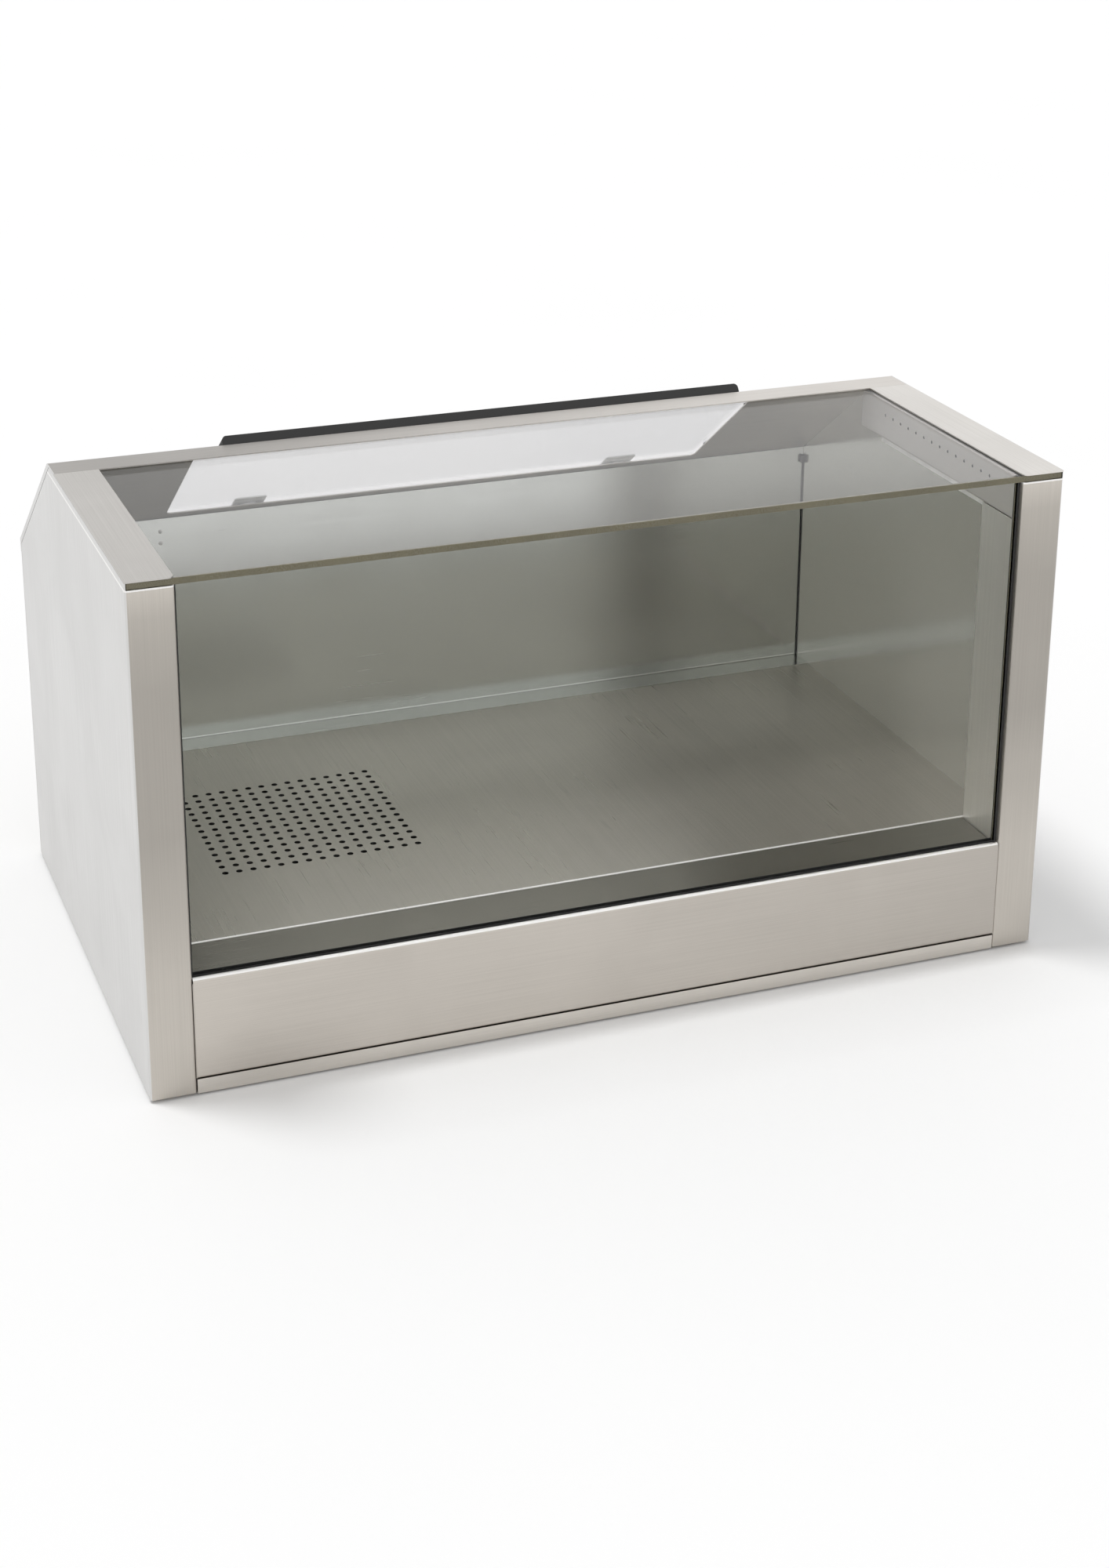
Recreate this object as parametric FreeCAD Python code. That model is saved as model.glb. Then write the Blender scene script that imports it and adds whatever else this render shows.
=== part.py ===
"""Countertop popcorn warmer: a stainless steel display cabinet with glass front and top.

Units are millimetres. +Z is up, -Y is the customer's side, +Y is the operator's side.
The origin is on the standing surface, under the middle of the cabinet.
"""

import FreeCAD
import Part
import math
import os

V = FreeCAD.Vector

# Overall cabinet
width = 900.0
depth = 540.0
height = 500.0
foot_height = 3.0
rail_front = 314.0
rail_depth = 34.0
knee_height = 361.0

# Sheet, glass and gaps
sheet = 1.2
liner_sheet = 1.0
duct_sheet = 1.0
bend = 1.5
glass = 6.0
seam = 0.6
seat_gap = 0.2
slide_gap = 0.3
run_gap = 0.05
bore_flats = 8

# Posts, side ducts and walls
post_width = 43.0
column_depth = 75.0
wall_depth = 9.0
rim = 6.0
valance_drop = 49.0
vent_count = 14
vent_pitch = 16.5
vent_first = 63.0
vent_radius = 1.6
vent_flats = 4
vent_drop = 23.0

# Fascia and front glass
fascia_top = 118.0
lip_radius = 3.6
lip_depth = 5.3
hem_radius = 0.3
hem_drop = 9.0
fascia_foot = 16.0
gasket_wall = 0.8
gasket_show = 2.0
gasket_rise = 0.4
channel_depth = 13.0
glass_lap = 30.0
rest_reach = 11.0
top_glass_setback = 1.0
band_corner = 6.0
hood_tail = 14.0

# Deck with its punched field
deck_height = 114.0
deck_hem = 16.0
rail_leg = 26.0
ledge_drop = 14.0
pan_flange = 20.0
liner_foot = 31.0
hole_columns = 15
hole_rows = 14
hole_pitch = 14.0
hole_radius = 2.7
hole_flats = 5
field_left = -326.0
field_front = 204.0

# Kernel tray
tray_top = 16.5
tray_depth = 440.0
tray_wall_height = 11.0
tray_sheet = 1.0
tray_lip = 9.0
runner_flange = 7.0
runner_drop = 4.4
finger_depth = 12.0
chute_margin = 10.0
chute_taper = 18.0
chute_clearance = 1.2

# Rear hatch and its door
hatch_width = 600.0
hatch_start = 22.0
hatch_length = 183.0
hatch_corner = 6.0
door_overlap = 9.0
door_sheet = 5.0
door_lift = 1.5
door_top_lap = 10.0
door_foot_gap = 0.8
grip_width = 11.0
grip_height = 5.5
grip_inset = 33.0
grip_hook = 14.5
hinge_along = 8.0
hinge_lift = 5.0
hinge_radius = 3.4
hinge_pin_radius = 1.6
hinge_offset = 210.0
knuckle = 16.0
side_knuckle = 9.0
hinge_plate = 1.2
hinge_reach = 22.0
bumper_spots = (55.0, 180.0)

# Blower, heater and front plenum
blower_x = 150.0
blower_setback = 330.0
blower_height = 70.0
scroll_radius = 66.0
scroll_growth = 10.0
scroll_steps = 6
outlet_setback = 200.0
wheel_radius = 56.0
wheel_inner = 43.0
wheel_rise = 30.0
blade_count = 15
blade_sheet = 1.2
motor_radius = 33.0
motor_height = 22.0
boss_height = 4.0
hub_height = 12.0
shaft_depth = 16.0
shaft_radius = 3.0
inlet_radius = 44.0
plenum_front = 16.0
plenum_back = 74.0
element_radius = 4.0
fin_count = 4
fin_sheet = 0.8
rod_rises = (21.0, 49.0)

# Control bay on the operator's side
bay_inset = 20.0
bay_width = 280.0
bay_bottom = 30.0
bay_top = 100.0
bay_depth = 28.0
bay_flange = 8.0
knob_offset = 37.0
knob_radius = 18.0
knob_height = 17.0
skirt_height = 6.0
spindle_grip = 10.0
knob_lift = 2.0
skirt_taper = 1.5
knob_bar_setback = 4.0
knob_bar_foot = 5.0
knob_bar_top = 3.0
knob_bar_taper = 1.0
thermostat_half = 17.0
thermostat_depth = 28.0
spindle_depth = 11.0
spindle_play = 1.0
neck_radius = 5.8
rocker_offsets = (92.0, 132.0)
rocker_width = 18.0
rocker_half = 12.5
rocker_tilt = 8.0
rocker_gap = 0.4
rocker_pin = 1.5
rocker_lift = 0.5
rocker_root = 4.0
rocker_well = 2.0
rocker_rise = 1.0
switch_wall = 2.0
switch_depth = 22.0
bezel_border = 4.0
bezel_sheet = 2.0
lamp_offset = 168.0
lamp_radius = 6.0
lamp_barrel = 4.8
lamp_depth = 16.0
lamp_flange = 1.5
lamp_cap = 4.5
lamp_taper = 2.0
inlet_offset = 227.0
socket_width = 24.4
socket_height = 16.4
socket_depth = 16.0
inlet_border = 4.0
inlet_flange = 2.5
inlet_wall = 1.8
inlet_floor = 3.0
inlet_corner = 4.0
inlet_cut = 2.0
contact_spread = 7.0
contact_half_width = 1.0
contact_half_height = 2.0
contact_drop = 2.0
contact_rise = 3.0
contact_setback = 1.0

# Terminal block on the base pan
terminal_ways = 6
terminal_pitch = 10.0
terminal_offset = 20.0
terminal_setback = 90.0
terminal_depth = 20.0
terminal_height = 14.0
terminal_well = 6.0
terminal_rim = 5.0
terminal_floor = 8.0

# Vent slots in the back panel
slot_columns = 3
slot_rows = 5
slot_length = 76.0
slot_height = 5.0
slot_pitch_x = 92.0
slot_pitch_z = 12.0
slot_centre_x = -260.0
slot_centre_z = 66.0

# Light bars under the side ducts
bar_width = 16.0
bar_height = 9.0
lens_height = 2.0
bar_start = 84.0
bar_end = 300.0

# Temperature probe in the rear corner
probe_inset = 4.4
probe_radius = 1.6
probe_top = 352.0
bulb_radius = 3.4
bulb_length = 22.0

# Feet
foot_radius = 13.0
stem_radius = 3.8
stem_length = 5.0
foot_inset = 36.0
foot_flange = 20.0

# Places that follow from the sizes above
front = -depth / 2
back = depth / 2
side = width / 2
ridge_y = front + rail_front + rail_depth
post_inner = side - post_width
liner_face = side - wall_depth
back_face = back - wall_depth
rail_edge = front + rail_front
slope = math.atan2(height - knee_height, back - ridge_y)
slope_length = math.hypot(height - knee_height, back - ridge_y)
glass_top = height - sheet - seat_gap
glass_bottom = glass_top - glass
post_top = glass_bottom - seat_gap
duct_top = glass_bottom
duct_bottom = height - valance_drop
pan_bottom = tray_top + seam + sheet
pan_top = pan_bottom + sheet
pan_back = back - wall_depth
deck_bottom = deck_height - sheet
column_back = front + column_depth
plenum_top = deck_bottom - ledge_drop
lip_back = front + lip_depth
channel_front = lip_back + seat_gap
channel_floor = fascia_top - channel_depth
channel_back = channel_front + 2 * (duct_sheet + gasket_wall) + glass
pane_front = channel_front + duct_sheet + gasket_wall
pane_back = pane_front + glass
glass_rear = rail_edge + glass_lap
runner_inner = post_inner - seam - tray_sheet
runner_top = pan_bottom - runner_drop
door_start = hinge_along + hinge_radius + door_foot_gap
door_end = hatch_start + hatch_length + door_top_lap
hinge_end = door_start + hinge_reach
blower_y = front + blower_setback
outlet_y = front + outlet_setback
wheel_base = pan_top + duct_sheet + motor_height + boss_height
shaft_foot = wheel_base - shaft_depth
duct_left = blower_x - scroll_radius - 3 * scroll_growth
element_y = (front + plenum_back + outlet_y) / 2
element_heights = tuple(pan_top + rise for rise in rod_rises)
bay_right = side - bay_inset
bay_left = bay_right - bay_width
bay_middle = (bay_bottom + bay_top) / 2
bay_face = back - bay_depth + sheet
rocker_pivot_y = bay_face + rocker_lift
knob_foot = bay_face + knob_lift
knob_x = bay_right - knob_offset
rocker_positions = tuple(bay_right - offset for offset in rocker_offsets)
lamp_x = bay_right - lamp_offset
inlet_x = bay_right - inlet_offset
bar_centre = (post_inner + liner_face) / 2
foot_x = side - sheet - foot_flange


def box(x0, x1, y0, y1, z0, z1):
    """Block between two corners."""
    return Part.makeBox(x1 - x0, y1 - y0, z1 - z0, V(x0, y0, z0))


def cylinder(radius, start, end):
    """Round bar from one point to another."""
    axis = end - start
    return Part.makeCylinder(radius, axis.Length, start, axis)


def ring_at(point, axis, radius, flats):
    """Corners of a regular polygon round an axis that lies along X, Y or Z."""
    corners = []
    for i in range(flats):
        turn = 2 * math.pi * (i + 0.5) / flats
        u, v = radius * math.cos(turn), radius * math.sin(turn)
        if abs(axis.x) > 0:
            corners.append(point + V(0, u, v))
        elif abs(axis.y) > 0:
            corners.append(point + V(u, 0, v))
        else:
            corners.append(point + V(u, v, 0))
    return corners


def flat_face(corners):
    """Plane face from its corners."""
    return Part.Face(Part.makePolygon(corners + corners[:1]))


def between(ring0, ring1):
    """Solid with plane sides between two rings that have the same number of corners."""
    faces = [flat_face(ring0), flat_face(ring1)]
    for i in range(len(ring0)):
        j = (i + 1) % len(ring0)
        faces.append(flat_face([ring0[i], ring0[j], ring1[j], ring1[i]]))
    solid = Part.Solid(Part.Shell(faces))
    if solid.Volume < 0:
        solid.reverse()
    return solid


def flat_bar(radius, flats, start, end, end_radius=None):
    """Many-sided bar, straight or tapered, from one point to another."""
    axis = end - start
    far = radius if end_radius is None else end_radius
    return between(ring_at(start, axis, radius, flats), ring_at(end, axis, far, flats))


def flat_bore(radius, flats, start, end):
    """Many-sided hole for a round pin: its flats lie at the given radius."""
    return flat_bar(radius / math.cos(math.pi / flats), flats, start, end)


def fuse(shapes):
    """One clean solid from touching shapes."""
    return shapes[0].multiFuse(shapes[1:]).removeSplitter()


def both_sides(shape):
    """A left-hand piece together with its right-hand twin."""
    return shape, shape.mirror(V(0, 0, 0), V(1, 0, 0))


def polygon_prism(points, place, travel):
    """Straight-edged outline, placed in space and drawn out along a vector."""
    corners = [place(u, v) for u, v in points]
    return Part.Face(Part.makePolygon(corners + corners[:1])).extrude(travel)


def in_yz(x):
    """Place for outlines drawn in the side view."""
    return lambda u, v: V(x, u, v)


def in_xy(z):
    """Place for outlines drawn in the top view."""
    return lambda u, v: V(u, v, z)


def in_xz(y):
    """Place for outlines drawn in the front view."""
    return lambda u, v: V(u, y, v)


def unit(a, b):
    """Direction from one outline point to the next."""
    length = math.hypot(b[0] - a[0], b[1] - a[1])
    return (b[0] - a[0]) / length, (b[1] - a[1]) / length


def rounded_run(points, radii, place):
    """Edges of an open outline whose inner corners are arcs."""
    edges = []
    last = points[0]
    for i in range(1, len(points) - 1):
        here = points[i]
        d0 = unit(points[i - 1], here)
        d1 = unit(here, points[i + 1])
        turn = math.atan2(d0[0] * d1[1] - d0[1] * d1[0], d0[0] * d1[0] + d0[1] * d1[1])
        radius = radii[i - 1]
        if radius == 0:
            edges.append(Part.makeLine(place(*last), place(*here)))
            last = here
            continue
        back_off = radius * math.tan(abs(turn) / 2)
        begin = (here[0] - d0[0] * back_off, here[1] - d0[1] * back_off)
        finish = (here[0] + d1[0] * back_off, here[1] + d1[1] * back_off)
        inward = (d1[0] - d0[0], d1[1] - d0[1])
        span = math.hypot(*inward)
        reach = radius / math.cos(turn / 2) - radius
        middle = (here[0] + inward[0] / span * reach, here[1] + inward[1] / span * reach)
        edges.append(Part.makeLine(place(*last), place(*begin)))
        edges.append(Part.Arc(place(*begin), place(*middle), place(*finish)).toShape())
        last = finish
    edges.append(Part.makeLine(place(*last), place(*points[-1])))
    return edges


def bent_sheet(points, thickness, hand, radii, place, travel):
    """Folded sheet: points run along its show bay_face, hand +1 puts the metal on the left."""
    other = []
    show_radii = []
    hidden_radii = []
    for i, here in enumerate(points):
        before = unit(points[i - 1], here) if i else unit(here, points[1])
        after = unit(here, points[i + 1]) if i < len(points) - 1 else before
        n0 = (-before[1] * hand, before[0] * hand)
        n1 = (-after[1] * hand, after[0] * hand)
        lean = 1 + n0[0] * n1[0] + n0[1] * n1[1]
        other.append((here[0] + (n0[0] + n1[0]) * thickness / lean,
                      here[1] + (n0[1] + n1[1]) * thickness / lean))
        if 0 < i < len(points) - 1:
            left_turn = before[0] * after[1] - before[1] * after[0] > 0
            inside = left_turn == (hand > 0)
            inner = radii[i - 1]
            outer = inner + thickness if inner else 0
            show_radii.append(outer if inside else inner)
            hidden_radii.append(inner if inside else outer)
    edges = rounded_run(points, show_radii, place)
    edges.append(Part.makeLine(place(*points[-1]), place(*other[-1])))
    edges += rounded_run(other[::-1], hidden_radii[::-1], place)
    edges.append(Part.makeLine(place(*other[0]), place(*points[0])))
    return Part.Face(Part.Wire(Part.__sortEdges__(edges))).extrude(travel)


def rounded_plate(u0, u1, v0, v1, radius, place, travel):
    """Plate with four rounded corners."""
    middle = (u0 + u1) / 2
    points = [(middle, v0), (u1, v0), (u1, v1), (u0, v1), (u0, v0), (middle, v0)]
    edges = rounded_run(points, [radius] * 4, place)
    return Part.Face(Part.Wire(edges)).extrude(travel)


def regular_hole(u, v, radius, flats, place):
    """Closed outline of a small punched hole."""
    step = 2 * math.pi / flats
    ring = [place(u + radius * math.cos(step * (i + 0.5)), v + radius * math.sin(step * (i + 0.5)))
            for i in range(flats)]
    return Part.makePolygon(ring + ring[:1])


def punched_plate(u0, u1, v0, v1, holes, place, travel):
    """Flat plate with a field of holes."""
    corners = [place(u0, v0), place(u1, v0), place(u1, v1), place(u0, v1)]
    rim_wire = Part.makePolygon(corners + corners[:1])
    return Part.makeFace([rim_wire] + holes, "Part::FaceMakerBullseye").extrude(travel)


def on_slope(y, lift):
    """Height of a plane parallel to the rear slope, at a place along the depth."""
    return knee_height + (back - y) * math.tan(slope) + lift / math.cos(slope)


slope_frame = FreeCAD.Placement(FreeCAD.Matrix(
    -1, 0, 0, 0,
    0, -math.cos(slope), math.sin(slope), back,
    0, math.sin(slope), math.cos(slope), knee_height,
    0, 0, 0, 1))


def tilt(shape):
    """Set a piece drawn flat (along, lift) onto the rear slope, measured from the knee."""
    shape.Placement = slope_frame.multiply(shape.Placement)
    return shape


def side_panel():
    """Side skin, front post and hollow duct column, folded from one sheet."""
    back_edge = back - rim - seam
    path = [(-side, back_edge), (-side, front), (-post_inner, front),
            (-post_inner, column_back), (-liner_face - liner_sheet, column_back)]
    skin_top = height - sheet - seat_gap
    rise = V(0, 0, skin_top - foot_height)
    panel = bent_sheet(path, sheet, 1, [bend] * 3, in_xy(foot_height), rise)
    inner_skin = -side + sheet
    panel = panel.cut(box(inner_skin, -post_inner + 1, front - 1, column_back + 1, post_top, height))
    far = ridge_y - 2 * rail_depth
    outside = [(far, on_slope(far, -rim - seam)), (back, on_slope(back, -rim - seam)),
               (back, 2 * height), (far, 2 * height)]
    panel = panel.cut(polygon_prism(outside, in_yz(-side - 1), V(sheet + 2, 0, 0)))
    panel = panel.cut(box(-liner_face - 2, -post_inner + 1, pane_back + gasket_wall + seat_gap,
                          column_back + 1, duct_bottom - seat_gap, height))
    window_front = front + plenum_front + 2 * bend
    window_back = front + plenum_back - 3 * bend
    panel = panel.cut(box(-post_inner - 2 * sheet, -post_inner + 1, window_front, window_back,
                          pan_top + 2 * bend, plenum_top - 2 * bend))
    flange = box(-side + sheet, -post_inner - sheet, front + sheet, back_edge,
                 foot_height, foot_height + sheet)
    for y in (front + foot_inset, back - foot_inset):
        hole = flat_bar(stem_radius + seat_gap, 6, V(-foot_x, y, 0), V(-foot_x, y, 3 * foot_height))
        flange = flange.cut(hole)
    return fuse([panel, flange])


def top_band():
    """Flat steel strip over each long edge of the top glass."""
    y0 = front
    y1 = rail_edge - seat_gap
    path = [(-side, y1), (-side, y0), (-post_inner, y0), (-post_inner, y1)]
    edges = rounded_run(path, [bend, band_corner], in_xy(height - sheet))
    edges.append(Part.makeLine(edges[-1].Vertexes[-1].Point, edges[0].Vertexes[0].Point))
    return Part.Face(Part.Wire(edges)).extrude(V(0, 0, sheet))


def duct_valance():
    """Upper air duct: a channel under the top glass with a row of outlet holes."""
    y0 = pane_back + gasket_wall + 2 * seat_gap
    y1 = glass_rear - glass_lap / 2
    back_x = -liner_face
    path = [(back_x, duct_bottom), (-post_inner, duct_bottom), (-post_inner, duct_top),
            (back_x, duct_top)]
    channel = bent_sheet(path, sheet, 1, [bend] * 2, in_xz(y0), V(0, y1 - y0, 0))
    vents = []
    for i in range(vent_count):
        y = front + vent_first + i * vent_pitch
        ring = regular_hole(y, height - vent_drop, vent_radius, vent_flats, in_yz(-post_inner - 2 * sheet))
        vents.append(Part.Face(ring).extrude(V(sheet * 3, 0, 0)))
    return channel.cut(Part.makeCompound(vents))


def rear_hood():
    """Top rail, rear slope with the hatch mouth, and the rims that wrap both sides."""
    foot = knee_height - hood_tail
    path = [(rail_edge, height), (ridge_y, height), (back, knee_height), (back, foot)]
    hood = bent_sheet(path, sheet, -1, [bend] * 2, in_yz(-side), V(width, 0, 0))
    under = height - sheet
    turn = back - (under - knee_height + rim / math.cos(slope)) / math.tan(slope)
    band = [(rail_edge, height), (ridge_y, height), (back, knee_height), (back, foot),
            (back - rim, foot), (back - rim, on_slope(back - rim, -rim)), (turn, under),
            (rail_edge, under)]
    rims = [polygon_prism(band, in_yz(x), V(sheet, 0, 0)) for x in (-side, side - sheet)]
    half = hatch_width / 2
    mouth = rounded_plate(-half, half, hatch_start, hatch_start + hatch_length, hatch_corner,
                          in_xy(-sheet * 2), V(0, 0, sheet * 4))
    return fuse([hood] + rims).cut(tilt(mouth))


def back_panel():
    """Operator's side panel with the control bay cut-out and intake slots."""
    z0 = foot_height + seam
    z1 = knee_height - hood_tail - seam
    path = [(-side, back - rim), (-side, back), (side, back), (side, back - rim)]
    panel = bent_sheet(path, sheet, -1, [bend] * 2, in_xy(z0), V(0, 0, z1 - z0))
    panel = panel.cut(box(bay_left, bay_right, back - 2 * sheet, back + 1, bay_bottom, bay_top))
    slots = []
    for i in range(slot_columns):
        for j in range(slot_rows):
            x = slot_centre_x + (i - (slot_columns - 1) / 2) * slot_pitch_x
            z = slot_centre_z + (j - (slot_rows - 1) / 2) * slot_pitch_z
            slots.append(box(x - slot_length / 2, x + slot_length / 2, back - 2 * sheet, back + 1,
                             z - slot_height / 2, z + slot_height / 2))
    return panel.cut(Part.makeCompound(slots))


def side_liner():
    """Polished inner side wall, standing on the deck."""
    y0 = column_back + seat_gap
    y1 = back_face
    lift = -sheet - seat_gap
    rear_top = on_slope(y1, lift)
    shoulder = back - (duct_top - knee_height - lift / math.cos(slope)) / math.tan(slope)
    outline = [(y0, deck_height), (y1, deck_height), (y1, rear_top), (shoulder, duct_top),
               (y0, duct_top)]
    return polygon_prism(outline, in_yz(-liner_face - liner_sheet), V(liner_sheet, 0, 0))


def back_liner():
    """Polished inner back wall with a foot turned forward over the deck."""
    top = on_slope(back_face + liner_sheet, -sheet - seat_gap)
    reach = liner_face - seat_gap
    path = [(back_face - liner_foot, deck_height + liner_sheet), (back_face, deck_height + liner_sheet),
            (back_face, top)]
    return bent_sheet(path, liner_sheet, -1, [bend], in_yz(-reach), V(2 * reach, 0, 0))


def deck():
    """Warm deck with the punched field that lets unpopped kernels fall through."""
    reach = side - sheet - seam
    hem_y = column_back + seat_gap * 2
    plate_front = hem_y + 2 * (bend + sheet)
    holes = [regular_hole(field_left + i * hole_pitch, front + field_front + j * hole_pitch,
                          hole_radius, hole_flats, in_xy(deck_bottom))
             for i in range(hole_columns) for j in range(hole_rows)]
    plate = punched_plate(-reach, reach, plate_front, back_face + liner_sheet, holes,
                          in_xy(deck_bottom), V(0, 0, sheet))
    path = [(hem_y, deck_height - deck_hem), (hem_y, deck_height), (plate_front, deck_height)]
    hem = bent_sheet(path, sheet, -1, [bend], in_yz(-reach), V(2 * reach, 0, 0))
    return fuse([plate, hem])


def front_ledge():
    """Fixed sill between the posts, from the glass channel back to the deck."""
    y0 = channel_back + seat_gap
    reach = post_inner - seam
    path = [(y0, plenum_top), (y0, deck_height), (column_back, deck_height),
            (column_back, plenum_top)]
    return bent_sheet(path, sheet, -1, [bend] * 2, in_yz(-reach), V(2 * reach, 0, 0))


def deck_rail():
    """Angle on the side skin that carries the deck's edge."""
    x0 = -side + sheet
    y0 = column_back + rim
    path = [(x0, deck_bottom - rail_leg), (x0, deck_bottom), (x0 + rail_leg, deck_bottom)]
    return bent_sheet(path, sheet, -1, [0], in_xz(y0), V(0, back_face - rim - y0, 0))


def base_pan():
    """Floor right of the kernel chute, flanged up at the side, with the apron behind the front cover."""
    reach = side - sheet - seat_gap
    chute_right = chute_outline(chute_taper, 0)[1]
    y0 = column_back + seam
    path = [(chute_right, pan_bottom), (reach, pan_bottom), (reach, pan_bottom + pan_flange)]
    pan = bent_sheet(path, sheet, 1, [0], in_xz(y0), V(0, pan_back - y0, 0))
    mouth = post_inner - seam
    apron = box(-mouth, mouth, front + sheet + bend + seam, y0, pan_bottom, pan_top)
    return fuse([pan, apron])


def base_side_strip():
    """Floor left of the kernel chute, flanged up at the side."""
    reach = side - sheet - seat_gap
    chute_left = chute_outline(chute_taper, 0)[0]
    y0 = column_back + seam + seat_gap
    path = [(-reach, pan_bottom + pan_flange), (-reach, pan_bottom), (chute_left, pan_bottom)]
    return bent_sheet(path, sheet, 1, [0], in_xz(y0), V(0, pan_back - y0, 0))


def base_crossbars():
    """Floor strips in front of the kernel chute and behind it, which close the frame round its foot."""
    x0, x1, y0, y1 = chute_outline(chute_taper, 0)
    left, right = x0 + seat_gap, x1 - seat_gap
    ahead = box(left, right, column_back + seam + seat_gap, y0, pan_bottom, pan_top)
    behind = box(left, right, y1, pan_back, pan_bottom, pan_top)
    return Part.makeCompound([ahead, behind])


def front_fascia():
    """Front cover below the glass, with its rolled upper lip."""
    z0 = tray_top + seam
    reach = post_inner - seam
    path = [(front + fascia_foot, z0), (front, z0), (front, fascia_top), (lip_back, fascia_top),
            (lip_back, fascia_top - hem_drop)]
    radii = [bend, lip_radius - sheet, hem_radius]
    return bent_sheet(path, sheet, -1, radii, in_yz(-reach), V(2 * reach, 0, 0))


def glass_channel():
    """Trough behind the fascia lip that holds the front glass."""
    reach = post_inner - seam
    path = [(channel_front, fascia_top - 2), (channel_front, channel_floor - duct_sheet),
            (channel_back, channel_floor - duct_sheet), (channel_back, deck_height)]
    return bent_sheet(path, duct_sheet, 1, [0] * 2, in_yz(-reach), V(2 * reach, 0, 0))


def front_glass():
    """Upright front pane."""
    reach = post_inner - seat_gap - gasket_wall
    foot = channel_floor + gasket_wall
    return box(-reach, reach, pane_front, pane_back, foot, glass_bottom - seat_gap)


def glass_gasket():
    """Black seal round the sides and foot of the front pane."""
    reach = post_inner - seat_gap
    y0 = pane_front - gasket_wall
    y1 = pane_back + gasket_wall
    inner = post_inner - gasket_show
    crest = fascia_top + gasket_rise
    outline = [(-reach, channel_floor), (reach, channel_floor), (reach, post_top), (inner, post_top),
               (inner, crest), (-inner, crest), (-inner, post_top), (-reach, post_top)]
    seal = polygon_prism(outline, in_xz(y0), V(0, y1 - y0, 0))
    step = post_inner - seam - seat_gap
    below = channel_floor - 1
    for x0, x1 in ((-side, -step), (step, side)):
        seal = seal.cut(box(x0, x1, y0 - 1, y1 + 1, below, fascia_top))
    return seal.cut(front_glass())


def top_glass():
    """Flat top pane, its front edge left open to view."""
    reach = side - sheet - seam
    edge = front + top_glass_setback
    place = in_xy(glass_bottom)
    return rounded_plate(-reach, reach, edge, glass_rear, bend, place, V(0, 0, glass))


def glass_rest():
    """Stepped strip under the rail that carries the rear edge of the top pane."""
    reach = liner_face - seat_gap
    heel = glass_rear + seat_gap
    path = [(glass_rear - rest_reach, glass_bottom), (heel, glass_bottom), (heel, height - sheet)]
    return bent_sheet(path, liner_sheet, -1, [0], in_yz(-reach), V(2 * reach, 0, 0))


def kernel_tray():
    """Shallow drawer for unpopped kernels; its front is the strip under the fascia."""
    wall = runner_inner - slide_gap - tray_lip
    crest = runner_top + slide_gap + tray_sheet
    floor = crest - tray_wall_height
    path = [(-wall - tray_lip, crest), (-wall, crest), (-wall, floor), (wall, floor), (wall, crest),
            (wall + tray_lip, crest)]
    length = V(0, tray_depth - sheet, 0)
    pan = bent_sheet(path, tray_sheet, -1, [0] * 4, in_xz(front + sheet), length)
    tail = front + tray_depth
    back_wall = box(-wall, wall, tail - tray_sheet, tail, floor, crest)
    reach = post_inner - seam
    below = floor - tray_sheet
    strip = box(-reach, reach, front, front + sheet, below, tray_top)
    finger = box(-reach, reach, front, front + finger_depth, below - tray_sheet, below)
    return fuse([pan, back_wall, strip, finger])


def tray_runner():
    """Angle under the base pan that carries one lip of the tray."""
    path = [(-runner_inner + runner_flange, runner_top), (-runner_inner, runner_top),
            (-runner_inner, pan_bottom)]
    start = fascia_foot + seam
    length = V(0, tray_depth - start, 0)
    return bent_sheet(path, tray_sheet, 1, [0], in_xz(front + start), length)


def chute_outline(taper, grow):
    """Rectangle round the punched field, drawn in by a taper and grown by a wall."""
    x0 = field_left - chute_margin + taper
    x1 = field_left + (hole_columns - 1) * hole_pitch + chute_margin - taper
    y0 = front + field_front - chute_margin + taper
    y1 = front + field_front + (hole_rows - 1) * hole_pitch + chute_margin - taper
    return x0 - grow, x1 + grow, y0 - grow, y1 + grow


def kernel_chute():
    """Tapered hopper from the punched field down to the tray."""
    def frustum(wall, reach):
        rings = []
        for z, taper in ((pan_bottom - reach, chute_taper), (deck_bottom + reach, 0.0)):
            x0, x1, y0, y1 = chute_outline(taper, -chute_clearance - wall)
            rings.append([V(x0, y0, z), V(x1, y0, z), V(x1, y1, z), V(x0, y1, z)])
        return between(*rings)
    slant = chute_taper / (deck_bottom - pan_bottom)
    wall = duct_sheet * math.sqrt(1 + slant ** 2)
    return frustum(0, 0).cut(frustum(wall, seat_gap))


def rear_door():
    """Clear flap over the hatch mouth."""
    half = hatch_width / 2 + door_overlap
    return tilt(rounded_plate(-half, half, door_start, door_end, hatch_corner, in_xy(door_lift),
                              V(0, 0, door_sheet)))


def door_grip():
    """Black grip along the top edge of the flap, hooked over the pane's edge."""
    top = door_lift + door_sheet
    half = hatch_width / 2 + door_overlap - grip_inset
    nose = grip_height - bend
    s0 = door_end - grip_width
    s1 = door_end + grip_hook
    low = door_lift + seat_gap
    section = [(s0, top), (s0 + nose, top + grip_height), (s1 - nose, top + grip_height),
               (s1, top + bend), (s1, low), (door_end, low), (door_end, top)]
    bar = polygon_prism(section, in_yz(-half), V(2 * half, 0, 0))
    return tilt(bar)


def hinge_spans():
    """Middle of each hinge along the width."""
    return [-hinge_offset, hinge_offset]


def hinge_barrel(x0, x1, bore):
    """One knuckle of a hinge, drawn flat."""
    start = V(x0, hinge_along, hinge_lift)
    end = V(x1, hinge_along, hinge_lift)
    barrel = flat_bar(hinge_radius, 8, start, end)
    return barrel, flat_bore(bore, bore_flats, start - V(1, 0, 0), end + V(1, 0, 0))


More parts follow.
